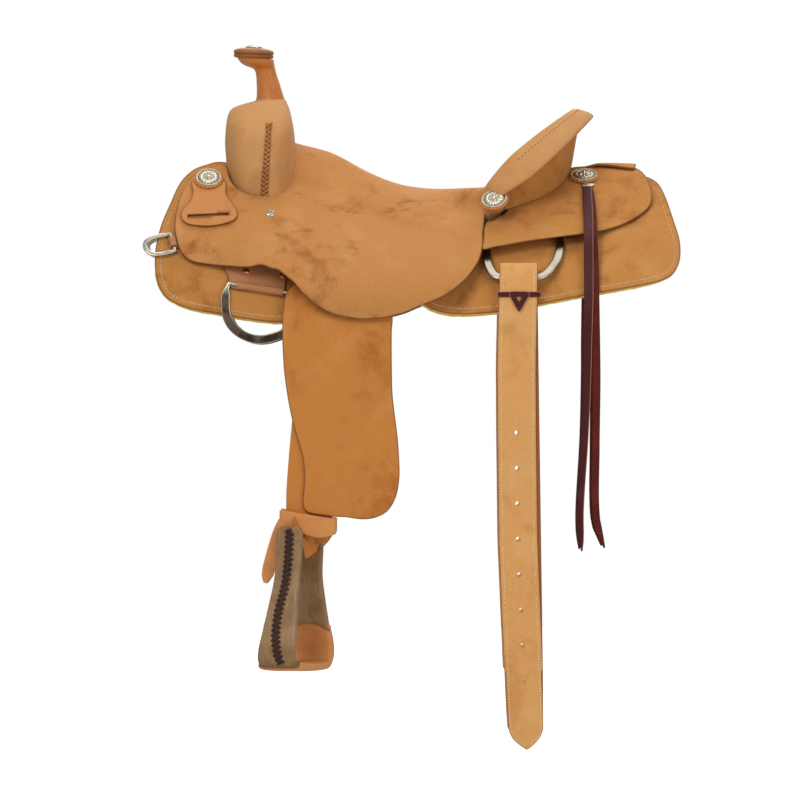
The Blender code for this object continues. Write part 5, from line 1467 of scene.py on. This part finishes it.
def addDisc(name, size, centre, normal):
    flower = size - disc["flower"]
    section = turned(size, disc["rim"], disc["ends"])
    section[-1:-1] = [(size * share, z) for share, z in disc["dome"]]
    face = turnedPiece("concho", section, centre, normal, 128, 60, lambda r, z, a: (
        r, z + disc["cutDeep"] * engraving(r, a, flower) * (z > 3.3)))
    n, u, v = facing(normal)
    co = coords(face) - centre
    away = np.sqrt(np.maximum((co ** 2).sum(1) - (co @ n) ** 2, 0))
    cut = engraving(away, np.arctan2(co @ v, co @ u), flower)
    deep = np.where(away < size - 2.4, np.clip(0.62 - cut * 1.2, 0, 0.62), 0)
    mark(face, "deep", np.maximum(deep, np.exp(-((away - (size - 2.6)) / 0.5) ** 2) * 0.9))
    bead = addBall(8, 6, disc["bead"], order=(0, 1, 2))
    count = int(2 * math.pi * (size - 1.0) / disc["beadPitch"])
    a = np.arange(count) * 2 * math.pi / count
    ring = centre + n * disc["beadHeight"] + circle(u, v, a) * (size - 0.95)
    along = circle(v, -u, a) + circle(u, v, a) * disc["beadSlant"]
    edge = repeat("beads", bead, ring, along, np.tile(n, (count, 1)))
    discard(bead)
    mark(edge, "deep", np.zeros(len(edge.data.vertices)))
    whole = joined("concho", face, edge)
    bothSides(whole, "concho" + name.capitalize(), "saddle", ["concho_" + name], paints["silver"], sharp=50)


def addConchos():
    for name, concho in conchos.items():
        if "centre" in concho:
            centre, normal = np.array(concho["centre"]), np.array(concho["normal"])
        else:
            x, z = (np.array([value]) for value in concho["place"])
            p, n = surfaceFrame(concho["surface"], x, z, concho["lift"])
            centre, normal = p[0], n[0] * np.sign(n[0][1])
        addRosette(name, concho["rosette"], centre, normal)
        addDisc(name, concho["rosette"] - disc["inFromRosette"], centre, normal)


screw = {"place": (-187.6, 16.7), "lift": 0.2, "radius": 7.4, "petal": 0.5, "ends": (0, 2.2),
         "steps": [(0, 0), (0, 0.9), (0.8, 1.7), (1.8, 1.3), (2.6, 2.0), (4.4, 2.9), (5.5, 2.9), (5.7, 2.2)]}
stringKeeper = {"place": (271.8, 56.5), "lift": 1.6, "radius": 5.0, "long": 2.0, "ends": (0.0, 3.6),
                "steps": [(0.8, 0.0), (0, 0.7), (0, 2.6), (0.8, 3.4)]}


def onePlace(surface, small):  # the spot and the direction of a small piece that sits on a surface
    x, z = (np.array([value]) for value in small["place"])
    p, n = surfaceFrame(surface, x, z, small["lift"])
    return p[0], n[0]


def addSeatScrews():
    size = screw["radius"]

    def petalled(r, z, a):
        return r, z + screw["petal"] * (r < size - 1.6) * np.cos(a * 5) ** 2 * np.clip((r - 1.6) / 1.0, 0, 1)
    p, n = onePlace(seatFace(0), screw)
    head = turnedPiece("screw", turned(size, screw["steps"], screw["ends"]), p, n, 60, 40, petalled)
    co = coords(head) - p
    away = np.linalg.norm(co - (co @ n)[:, None] * n, axis=1)
    deep = 0.8 * (away < 1.7) + 0.7 * (np.abs(away - (size - 1.9)) < 0.5) + 0.35 * (away < 5) * (away > 2)
    mark(head, "deep", np.clip(deep, 0, 1))
    bothSides(head, "seatScrew", "saddle", [], paints["silver"], sharp=50)


def addStringKeepers():
    p, n = onePlace(jockeyFace(4.5), stringKeeper)
    section = turned(stringKeeper["radius"], stringKeeper["steps"], stringKeeper["ends"])
    bar = turnedPiece("keeperBar", section, p, n, 40, 14)
    co = coords(bar) - p
    co[:, 0] *= stringKeeper["long"]
    setCoords(bar, co + p)
    mark(bar, "deep", np.clip(0.6 - np.abs(co[:, 2]) / 4, 0, 1))
    bothSides(bar, "stringKeeper", "saddle", [], paints["silver"], sharp=50)


addKeepers()
addConchos()
addSeatScrews()
addStringKeepers()
print("stage: conchos and keepers")


# Rigging: plates and sleeves on the skirts, and the dees in them

def barEnd(x, z, height):
    return np.array((x, float(foldedBack(x, z)) + height * float(foldedSlant(x, z)), z))


def foldedBack(x, z, grid=48.0):  # the solid model's skirts are folded on a grid, and the bars lie on those
    def corner(i, j):
        return max(float(backY(np.array(i * grid), np.array(j * grid))), 1.8)
    i, j = math.floor(x / grid), math.floor(z / grid)
    u, v = x / grid - i, z / grid - j
    if u + v <= 1:
        base = corner(i, j)
        return base + u * (corner(i + 1, j) - base) + v * (corner(i, j + 1) - base)
    base = corner(i + 1, j + 1)
    return base + (1 - u) * (corner(i, j + 1) - base) + (1 - v) * (corner(i + 1, j) - base)


def foldedSlant(x, z):
    return float(slant(np.array(float(x)), np.array(float(z))))


# In each rig, dark is how far the face of its dee is darkened as painted reflection.
rigging = {
    "front": dict(bar=((-247.0, -85.5), (-158.0, -99.6)), height=7.2, rim=(-205.0, 251.5, -166.5), step=3.0,
                  path=[(-153, -118), (-155, -138), (-165, -154), (-183, -163), (-205, -166.5), (-226, -160.5),
                        (-242, -148), (-249.7, -133.4), (-252.3, -115), (-251, -97)], band=6.5, thick=1.75, dark=1.0,
                  plate=[(-255, -58), (-249, -74), (-244, -92), (-205, -97), (-168, -102), (-165, -86), (-164, -62),
                         (-205, -54)], plateThick=4.5, sleeveFrom=0.12, solid="front_rigging"),
    "rear": dict(bar=((127.5, -30.0), (232.0, -12.0)), height=7.2, rim=(172.0, 241.0, -74.5), step=3.0,
                 path=[(231, -34), (225, -54), (205, -74.5), (172, -74.5), (140, -74.5), (131, -66), (126, -50)],
                 band=6.3, thick=2.6, dark=0.65,
                 plate=[(144, -11), (142, -28), (180, -22), (214, -18), (222, 14), (182, 3)], plateThick=4.5,
                 sleeveFrom=0.14, solid="rear_rigging"),
    "breast": dict(bar=((-332.0, -14.5), (-325.0, -38.0)), height=6.2, rim=None, step=1.5,
                   path=[(-338, -41.5), (-351, -43.5), (-362, -41), (-368.3, -32.5), (-367, -25), (-358, -19.5),
                         (-345, -16)], band=3.3, thick=1.9, dark=0.0,
                   plate=[(-335, -15), (-331, -33), (-306, -30), (-308, -14)], plateThick=3.6, sleeveFrom=0.24,
                   solid="breast_tab"),
}
deeBar = {"half": 2.4, "stations": 24, "end": 0.04, "ease": 0.10}
sleeve = {"end": 3.1, "shoulder": 5.1, "wall": 5.6}


def deePlane(rig, a, b):  # the half width at a place of the side view, in the plane of a dee
    if rig["rim"]:
        rim = np.array(rig["rim"])
        middle = a + (b - a) * (rim[0] - a[0]) / (b[0] - a[0])
        lean = (rim[1] - middle[1]) / (middle[2] - rim[2])

        def flat(x, z):
            onBar = a + (b - a) * (x - a[0]) / (b[0] - a[0])
            return onBar[1] + (onBar[2] - z) * lean
    else:
        def flat(x, z):
            return a[1] + (b[1] - a[1]) * (z - a[2]) / (b[2] - a[2])
    return flat


def addDee(name, rig):
    a, b = (barEnd(*p, rig["height"]) for p in rig["bar"])
    flat = deePlane(rig, a, b)
    arc = evenly([b] + [np.array((x, flat(x, z), z)) for x, z in rig["path"]] + [a], rig["step"], closed=False)
    count, end, half = deeBar["stations"], deeBar["end"], deeBar["half"]
    bar = np.array([lerp(a, b, t) for t in np.linspace(end, 1 - end, count)])
    path = np.concatenate([arc, bar])
    dx, dz = (flat(5, -50) - flat(-5, -50)) / 10, (flat(0, -45) - flat(0, -55)) / 10
    normal = unit(np.array((-dx, 1, -dz)))
    across = unit(np.cross(normal, np.roll(path, -1, 0) - np.roll(path, 1, 0)))
    n = len(arc)
    fromEnd = np.minimum(np.arange(n), n - 1 - np.arange(n))
    share = np.concatenate([smooth(fromEnd / (n * deeBar["ease"])), np.zeros(count)])
    wide, thick = lerp(half, rig["band"], share), lerp(half, rig["thick"], share)
    ring = sweep("dee", path, across, wide, thick, power=3.6, around=28, closed=True)
    co = coords(ring)
    near = nearest(co, path)
    aside = np.abs(((co - path[near]) * across[near]).sum(-1)) / wide[near]
    # painted reflection and shade: the face of the ring is darkened by the rig's dark share, its rims stay bright, and
    # the edges of the bar are darkened
    mark(ring, "deep", np.where(aside < 0.8, rig["dark"] * share[near], np.where(near >= n, 0.8, 0)))
    bothSides(ring, name + "Dee", name + "_dee", [name + "_dee"], paints["steel"], sharp=60)


def addHolder(name, rig):
    a, b = (barEnd(*p, rig["height"]) for p in rig["bar"])
    plate = cutLeather("plate", evenly(rig["plate"], 3.0), rig["plateThick"], pitch=6.0)
    drape(plate, overBack(0.5 + rig["plateThick"] / 2))
    start, end = lerp(a, b, rig["sleeveFrom"]), lerp(b, a, rig["sleeveFrom"])
    length = np.linalg.norm(end - start)
    axis = unit(end - start)
    side = unit(np.cross(axis, (0, 1, 0)))
    out = np.cross(side, axis)

    def place(u, v):  # a tube round the bar, closed in at its ends
        wall = np.where((v >= 0.27) & (v <= 0.73), sleeve["wall"], sleeve["shoulder"])
        wall = np.where((v < 0.20) | (v > 0.80), sleeve["end"], wall)
        at = np.clip((v - 0.25) / 0.5, 0, 1) * length
        p = start + axis * at[:, None] + circle(side, out, 2 * math.pi * u) * wall[:, None]
        return p[:, 0], p[:, 1], p[:, 2]
    tube = skin("sleeve", 40, 40, place, caps=False)
    mark(tube, "edge", np.zeros(len(tube.data.vertices)))
    whole = joined("holder", plate, tube)
    bothSides(whole, name + "Rigging", "saddle", [rig["solid"]], paints["riggingLeather"])


rivets = {"places": {"A": (-222.3, -68.2), "B": (-169.1, -74.1)}, "lift": 5.0, "radius": 5.1, "ends": (-0.5, 2.35),
          "steps": [(0.1, -0.5), (0, 0.4), (0.9, 1.3), (2.5, 2.0), (3.9, 2.3)]}


def addRivets():
    section = turned(rivets["radius"], rivets["steps"], rivets["ends"])
    for name, place in rivets["places"].items():
        p, n = onePlace(overBack(0), dict(place=place, lift=rivets["lift"]))
        rivet = turnedPiece("rivet", section, p, n, 28, 14)
        bothSides(rivet, "rivet" + name, "saddle", [], paints["copper"], sharp=60)


for rigName, rig in rigging.items():
    addDee(rigName, rig)
    addHolder(rigName, rig)
addRivets()
print("stage: rigging")


# Flank billets with their holes, stitches and lace tie

billet = {
    "loop": [(253.8, -116), (248.8, -104), (240.8, -90), (233.4, -79), (228.8, -70), (228.8, -63), (233, -58.5),
             (240, -58), (247, -62), (252, -70), (255.5, -82), (258, -96), (260.4, -128), (260.6, -190), (260.6, -420)],
    "tip": [(-645, 52), (-700, 51.6), (-731, 50), (-742, 40), (-750, 25), (-756, 10), (-758.3, 3)],
    "x": 172.5, "y": 260.6, "lowZ": (-420, -500, -600, -700, -740, -758.3), "foldStations": 30, "foldWidth": 55.0,
    "width": 56.0, "thick": 4.6, "hole": 3.5, "pitch": 51.3, "count": 8, "first": -301.0, "stitchInset": 5.4,
    "front": ((-420, -190, -128, -96, -82, -70, -62), (260.6, 260.6, 260.4, 258.0, 255.5, 252.0, 247.0)),
    "stitchZ": (-66, -728), "tipStitches": [(-23.2, -729.0), (-17.5, -738.5), (-9, -747.0), (0, -752.0), (9, -747.0),
                                            (17.5, -738.5), (23.2, -729.0)],
    "tipStitchAt": (-728.0, -737.0, -745.0, -750.0, -745.0, -737.0, -728.0),
    "centre": ((-773, -733, -645, -457, -300, -200, -60), (184.5, 182.0, 178.5, 170.6, 168.8, 168.3, 171.5)),
}


def billetX(z):
    return softened(z, *billet["centre"], 14)


def addBillets():
    tipZ = billet["tip"][0][0]
    path = evenly([(billet["x"], y, z) for y, z in billet["loop"]], 4.0, closed=False)
    low = evenly([(billet["x"], billet["y"], z) for z in billet["lowZ"]], 4.0, closed=False)[1:]
    path = np.concatenate([path, low])
    path[:, 0] = billetX(path[:, 2])
    tip = np.array(billet["tip"])[::-1]
    width = np.where(np.arange(len(path)) < billet["foldStations"], billet["foldWidth"], billet["width"])
    width = np.where(path[:, 2] > tipZ, width, np.interp(path[:, 2], tip[:, 0], tip[:, 1]))
    strap = sweep("billet", path, (1, 0, 0), width / 2, billet["thick"] / 2, power=9, around=44)
    startPiece()
    punches = []
    for k in range(billet["count"]):
        z = billet["first"] - k * billet["pitch"]
        bpy.ops.mesh.primitive_cylinder_add(vertices=24, radius=billet["hole"], depth=40,
                                            rotation=(math.pi / 2, 0, 0), location=(float(billetX(z)), billet["y"], z))
        punches.append(bpy.context.object)
    cutAway(strap, joined("punch", *punches), "holes")
    co = coords(strap)
    near = nearest(co, path)
    mark(strap, "edge", np.clip((np.abs(co[:, 0] - path[near, 0]) - (width[near] / 2 - 1.2)) / 0.6, 0, 1))
    bothSides(strap, "billet", "billet", ["billet"], paints["billetLeather"], sharp=50)


def addBilletStitches():
    def face(x, h, z):
        return x, np.interp(z, *billet["front"]) + billet["thick"] / 2 + h, z
    zs = np.arange(*billet["stitchZ"], -stitch["pitch"])
    inwards = billet["width"] / 2 - billet["stitchInset"]
    tracks = [np.stack([billetX(zs) + side * inwards, zs], 1) for side in (-1, 1)]
    line = [(float(billetX(at)) + aside, z) for at, (aside, z) in zip(billet["tipStitchAt"], billet["tipStitches"])]
    tracks.append(evenly(line, stitch["pitch"], closed=False))
    rows = joined("billetStitches", *[stitchRow(track, face, 0.15) for track in tracks])
    bothSides(rows, "billetStitches", "billet", [], paints["thread"])


tie = {
    "bar": [(141, -97.6), (172, -97.3), (203, -97.6), (203.4, -101.5), (203, -105.4), (172, -105.2), (141, -105.4),
            (140.6, -101.5)],
    "knot": [(158.5, -97.2), (172, -96.6), (186, -97.4), (187.4, -101), (181, -113), (173.4, -125.8), (170.8, -126.2),
             (163, -113), (157.4, -101)],
    "barThick": 2.0, "barLift": 1.1, "knotThick": 2.2, "knotLift": 2.6, "window": (172, 0, -107), "windowRadius": 5.6,
}


def tieFace(lift):
    def face(x, h, z):
        return x, softened(z, (-128, -96, -82), (260.4, 258.0, 255.5), 4) + 2.4 + lift + h, z
    return face


def addTie():
    bar = cutLeather("tieBar", evenly(tie["bar"], 1.6), tie["barThick"], pitch=4.0)
    drape(bar, tieFace(tie["barLift"]))
    knot = cutLeather("tieKnot", evenly(tie["knot"], 1.6), tie["knotThick"], pitch=3.0)
    bpy.ops.mesh.primitive_cylinder_add(vertices=3, radius=tie["windowRadius"], depth=12,
                                        rotation=(math.pi / 2, math.pi, 0), location=tie["window"])
    window = bpy.context.object
    only(window)
    bpy.ops.object.transform_apply(location=True, rotation=True, scale=True)
    cutAway(knot, window, "window")
    drape(knot, tieFace(tie["knotLift"]))
    whole = joined("tie", bar, knot)
    bothSides(whole, "billetTie", "billet", ["billet_tie"], paints["stringLeather"])


addBillets()
addBilletStitches()
addTie()
print("stage: billets")


# Fenders, the stirrup leathers behind them and the hobble straps

fender = {
    "outline": [(-161, -94), (-168, -116), (-170, -152), (-169, -188), (-166, -224), (-157, -277), (-145, -320),
                (-140, -339), (-138, -368), (-138, -412), (-107, -421), (-78, -423), (-54, -426), (-35, -423.4),
                (-18, -414), (-6, -394), (-1, -368), (-1, -344), (-3.5, -308), (-8, -272), (-11, -243),
                (-12, -200), (-12, -152), (-11, -132), (-20, -115)],
    "arc": (-64.0, -118.0), "radius": 91.4, "hanger": (-88.0, 10.0), "thick": 4.0,
    "leather": [(-90, -83, 72), (-95, -96, 72), (-103, -144, 72), (-108.5, -192, 72), (-120, -288, 72),
                (-128, -384, 72), (-132, -425, 65), (-133, -436, 62)],
    "behind": (4.2, 3.0), "leatherThick": 5.0, "loopThick": 4.0,
    "loop": [(-136, -440), (-120, -436), (-101, -438), (-98, -449), (-112, -467), (-126, -478), (-136, -484),
             (-140, -470)],
    "turn": [(-134.5, -440, 12, 62), (-139, -444, 38, 57), (-143, -449, 60, 52), (-145, -458, 65, 50)],
    "sleeve": [(5.5, -27), (9.0, -27), (9.6, -26.2), (9.6, 26.2), (9.0, 27), (5.5, 27), (5.5, -27)],
}
bolt = {"place": (-145.0, 257.5, -458.0), "turn": 65.0,
        "section": [(0.01, -37.0), (4.4, -37.0), (5.0, -36.4), (5.0, 36.4), (4.4, 37.0), (0.01, 37.0)]}


def boltAxis():
    turn = math.radians(bolt["turn"])
    return np.array((math.cos(turn), -math.sin(turn), 0))


def addFenders():
    x, z = fender["hanger"]
    arc = [math.radians(lerp(*fender["arc"], k / 7)) for k in range(8)]
    top = [(x + fender["radius"] * math.cos(a), z + fender["radius"] * math.sin(a)) for a in arc]
    leather = cutLeather("fender", evenly(fender["outline"] + top, 4.5), fender["thick"], pitch=12.0)
    drape(leather, fenderFace(-fender["thick"] / 2))
    bothSides(leather, "fender", "fender", ["fender"], paints["fenderLeather"])


def addStirrupLeathers():
    boltX, boltY = bolt["place"][:2]
    inward, half = fender["behind"]
    points = [(x, float(fenderFace(0)(np.array(float(x)), 0, np.array(float(z)))[1]) - inward - half, z, width, 0)
              for x, z, width in fender["leather"]]
    points += [(x, boltY, z, width, turn) for x, z, turn, width in fender["turn"]]
    route = evenly(points, 5.0, closed=False)
    turn = np.radians(route[:, 4])
    across = np.stack([np.cos(turn), -np.sin(turn), 0 * turn], 1)
    strap = sweep("stirrupLeather", route[:, :3], across, route[:, 3] / 2, fender["leatherThick"] / 2, power=8,
                  around=36)
    tube = turnedPiece("sleeve", fender["sleeve"], bolt["place"], boltAxis(), 40, 30)
    loop = cutLeather("loop", evenly(fender["loop"], 2.5), fender["loopThick"], pitch=6.0)
    drape(loop, lambda x, h, z: (x, boltY - 0.9 * (x - boltX) * smooth((-z - 440) / 30) + h, z))
    whole = joined("stirrupLeather", strap, tube, loop)
    bothSides(whole, "stirrupLeather", "fender", ["stirrup_leather"], paints["fenderLeather"])


hobble = {
    "centre": (-133.0, 259.5), "half": (38.0, 10.0), "wall": 3.0, "top": ((-176, -93), (-411.5, -426)),
    "bottom": ((-176, -160, -143, -126, -113, -93), (-429, -438, -445, -452, -453, -447)), "innerBottom": -432.0,
    "tail": [(-168, -428, 15), (-174, -442, 17), (-183, -470, 17), (-190, -497, 17), (-192.5, -510, 14),
             (-194, -518, 6)], "tailThick": 2.8,
}


def hobblePlace(u, v):
    c, s = ringed(4.0, u)
    out, up = np.cos(2 * math.pi * v), np.sin(2 * math.pi * v)
    out, up = np.sign(out) * np.abs(out) ** 0.35, np.sign(up) * np.abs(up) ** 0.35
    grow = hobble["wall"] * (0.5 + 0.5 * out)
    x = hobble["centre"][0] + (hobble["half"][0] + grow) * c
    y = hobble["centre"][1] + (hobble["half"][1] + grow) * s
    inner = hobble["centre"][0] + hobble["half"][0] * c
    top = softened(inner, *hobble["top"], 2)
    low = softened(inner, *hobble["bottom"], 5)
    low = np.maximum(low, lerp(hobble["innerBottom"], low, smooth((s + 0.6) / 1.2)))
    return x, y, lerp((top + low) / 2, np.where(up > 0, top, low), np.abs(up))


def addHobbles():
    band = skin("hobble", 96, 24, hobblePlace, closedAlong=True)
    y = hobble["centre"][1] + hobble["half"][1] - 0.5
    tail = evenly([(x, y, z, width) for x, z, width in hobble["tail"]], 3.0, closed=False)
    flap = sweep("tail", tail[:, :3], (1, 0, 0.25), tail[:, 3] / 2, hobble["tailThick"] / 2, power=7, around=24)
    whole = joined("hobble", band, flap)
    bothSides(whole, "hobble", "fender", ["hobble_strap"], paints["treadLeather"], sharp=50)


addFenders()
addStirrupLeathers()
addHobbles()
print("stage: fenders")


# Bell stirrups: rawhide over wood, laced up the outside, with a leather tread

stirrup = {
    "path": [(-33, 22, 30), (-33, 16, 39), (-33, 4, 41.5), (-34, -16, 41), (-36, -52, 40), (-44, -90, 46),
             (-54, -130, 54), (-60, -156, 59), (-58, -171, 61), (-46, -179, 61)],
    "wall": 9.0, "lean": 0.042,
}
lacing = {
    "line": [(-159.79, -442.25), (-161.675, -481.4), (-166.75, -523.45), (-175.45, -556.8), (-179.8, -590.15),
             (-177.625, -619.15), (-171.1, -636.55)],
    "pitch": 7.2, "width": 13.0, "strand": (11.5, 5.2, 3.6), "outwards": 0.3, "lift": 0.7, "bed": 0.36,
    "asides": (0.12, 0.26),
}
tread = {"cover": 2.2, "from": (-52.0, -175.5), "to": (50, -121.0), "raised": 5.5, "lastStations": 8.0}


def stirrupFrame(u, w, v):  # u along the bolt, w across it, v up from it
    along = boltAxis()
    across = np.array((-along[1], along[0], 0))
    lean = stirrup["lean"] * np.minimum(v, 0.0)
    return (np.array(bolt["place"]) + np.multiply.outer(u, along) + np.multiply.outer(w, across)
            + np.multiply.outer(v, (0, 0, 1.0)) + np.multiply.outer(lean, (1.0, 0, 0)))


stirrupAcross = stirrupFrame(0.0, 1.0, 0.0) - stirrupFrame(0.0, 0.0, 0.0)


def stirrupLine():
    half = stirrup["path"]
    return evenly(half + [(-u, v, depth) for u, v, depth in half[::-1]], 4.0, closed=False)


def addStirrups():
    line = stirrupLine()
    path = stirrupFrame(line[:, 0], np.zeros(len(line)), line[:, 1])
    body = sweep("stirrup", path, stirrupAcross, line[:, 2] / 2, stirrup["wall"] / 2, power=4.4, around=44)
    co = coords(body)
    near = nearest(co, path)
    aside = np.abs((co - path[near]) @ stirrupAcross) / (line[near, 2] / 2)
    mark(body, "edge", np.clip((aside - 0.93) / 0.05, 0, 1) * 0.25)
    bothSides(body, "stirrup", "stirrup", ["stirrup"], paints["rawhide"], sharp=50)


def onLeg(x, z):  # the outer face of the outer leg, at a place of the side view
    line = stirrupLine()
    leg = line[line[:, 0] < -20]
    leg = leg[np.argsort(leg[:, 1])]
    v = z - bolt["place"][2]
    u = np.interp(v, leg[:, 1], leg[:, 0]) - stirrup["wall"] / 2
    base = stirrupFrame(u, 0 * u, v)
    w = (x - base[:, 0]) / stirrupAcross[0]
    return base + w[:, None] * stirrupAcross


def addLacing():
    spine = evenly(lacing["line"], lacing["pitch"] / 2, closed=False)
    path = onLeg(spine[:, 0], spine[:, 1])
    path[:, 1] += lacing["outwards"]
    ahead = unit(np.gradient(path, axis=0))
    out = np.cross(ahead, stirrupAcross)
    out = unit(out) * np.sign(out @ -boltAxis())[:, None]
    side = np.cross(ahead, out)
    side *= np.sign(side[:, :1])
    strand = addBall(12, 8, lacing["strand"])
    places, along = [], []
    for i in range(len(path)):
        way = 1 if i % 2 else -1
        aside = way * lacing["width"] * lacing["asides"][way > 0]
        places.append(path[i] + side[i] * aside + out[i] * lacing["lift"])
        along.append(side[i] * 0.9 + ahead[i] * way * 0.5)
    plait = repeat("lacing", strand, places, along, out)
    bed = sweep("laceBed", path, side, lacing["width"] * lacing["bed"], 1.0, around=12)
    discard(strand)
    both = joined("lacing", plait, bed)
    bothSides(both, "lacing", "stirrup", [], paints["laceLeather"], sharp=60)


def addTread():
    line = stirrupLine()
    start, end = (int(np.argmin(np.hypot(line[:, 0] - u, line[:, 1] - v))) for u, v in (tread["from"], tread["to"]))
    part = evenly(line[start:end + 1], 3.0, closed=False)
    path = stirrupFrame(part[:, 0], np.zeros(len(part)), part[:, 1])
    half = part[:, 2] / 2 + tread["cover"]
    cover = sweep("tread", path, stirrupAcross, half, stirrup["wall"] / 2 + tread["cover"], power=5.0, around=48)
    co = coords(cover)
    near = nearest(co, path)
    aside = ((co - path[near]) @ stirrupAcross) / half[near]
    ended = smooth((near - (len(path) - tread["lastStations"] - 1)) / tread["lastStations"])
    co[:, 2] += ended * tread["raised"] * (1 - 2 * aside ** 2)
    setCoords(cover, co)
    mark(cover, "edge", np.maximum((near < 1) * 0.7, (near > len(path) - 2) * 0.7))
    bothSides(cover, "tread", "stirrup", ["stirrup_tread"], paints["treadLeather"], sharp=50)


def addBolts():
    rod = turnedPiece("bolt", bolt["section"], bolt["place"], boltAxis(), 32, 20)
    bothSides(rod, "bolt", "stirrup", ["stirrup_bolt"], paints["steel"], sharp=50)


addStirrups()
addLacing()
addTread()
addBolts()
print("stage: stirrups")


# The tree's own parts keep their solid shape

def dressFrame():
    for name in ("tree_fork", "tree_bar_left", "tree_bar_right", "tree_cantle", "ground_seat"):
        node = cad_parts[name]
        node.data.materials.clear()
        node.data.materials.append(paints["treeRawhide"])


dressFrame()
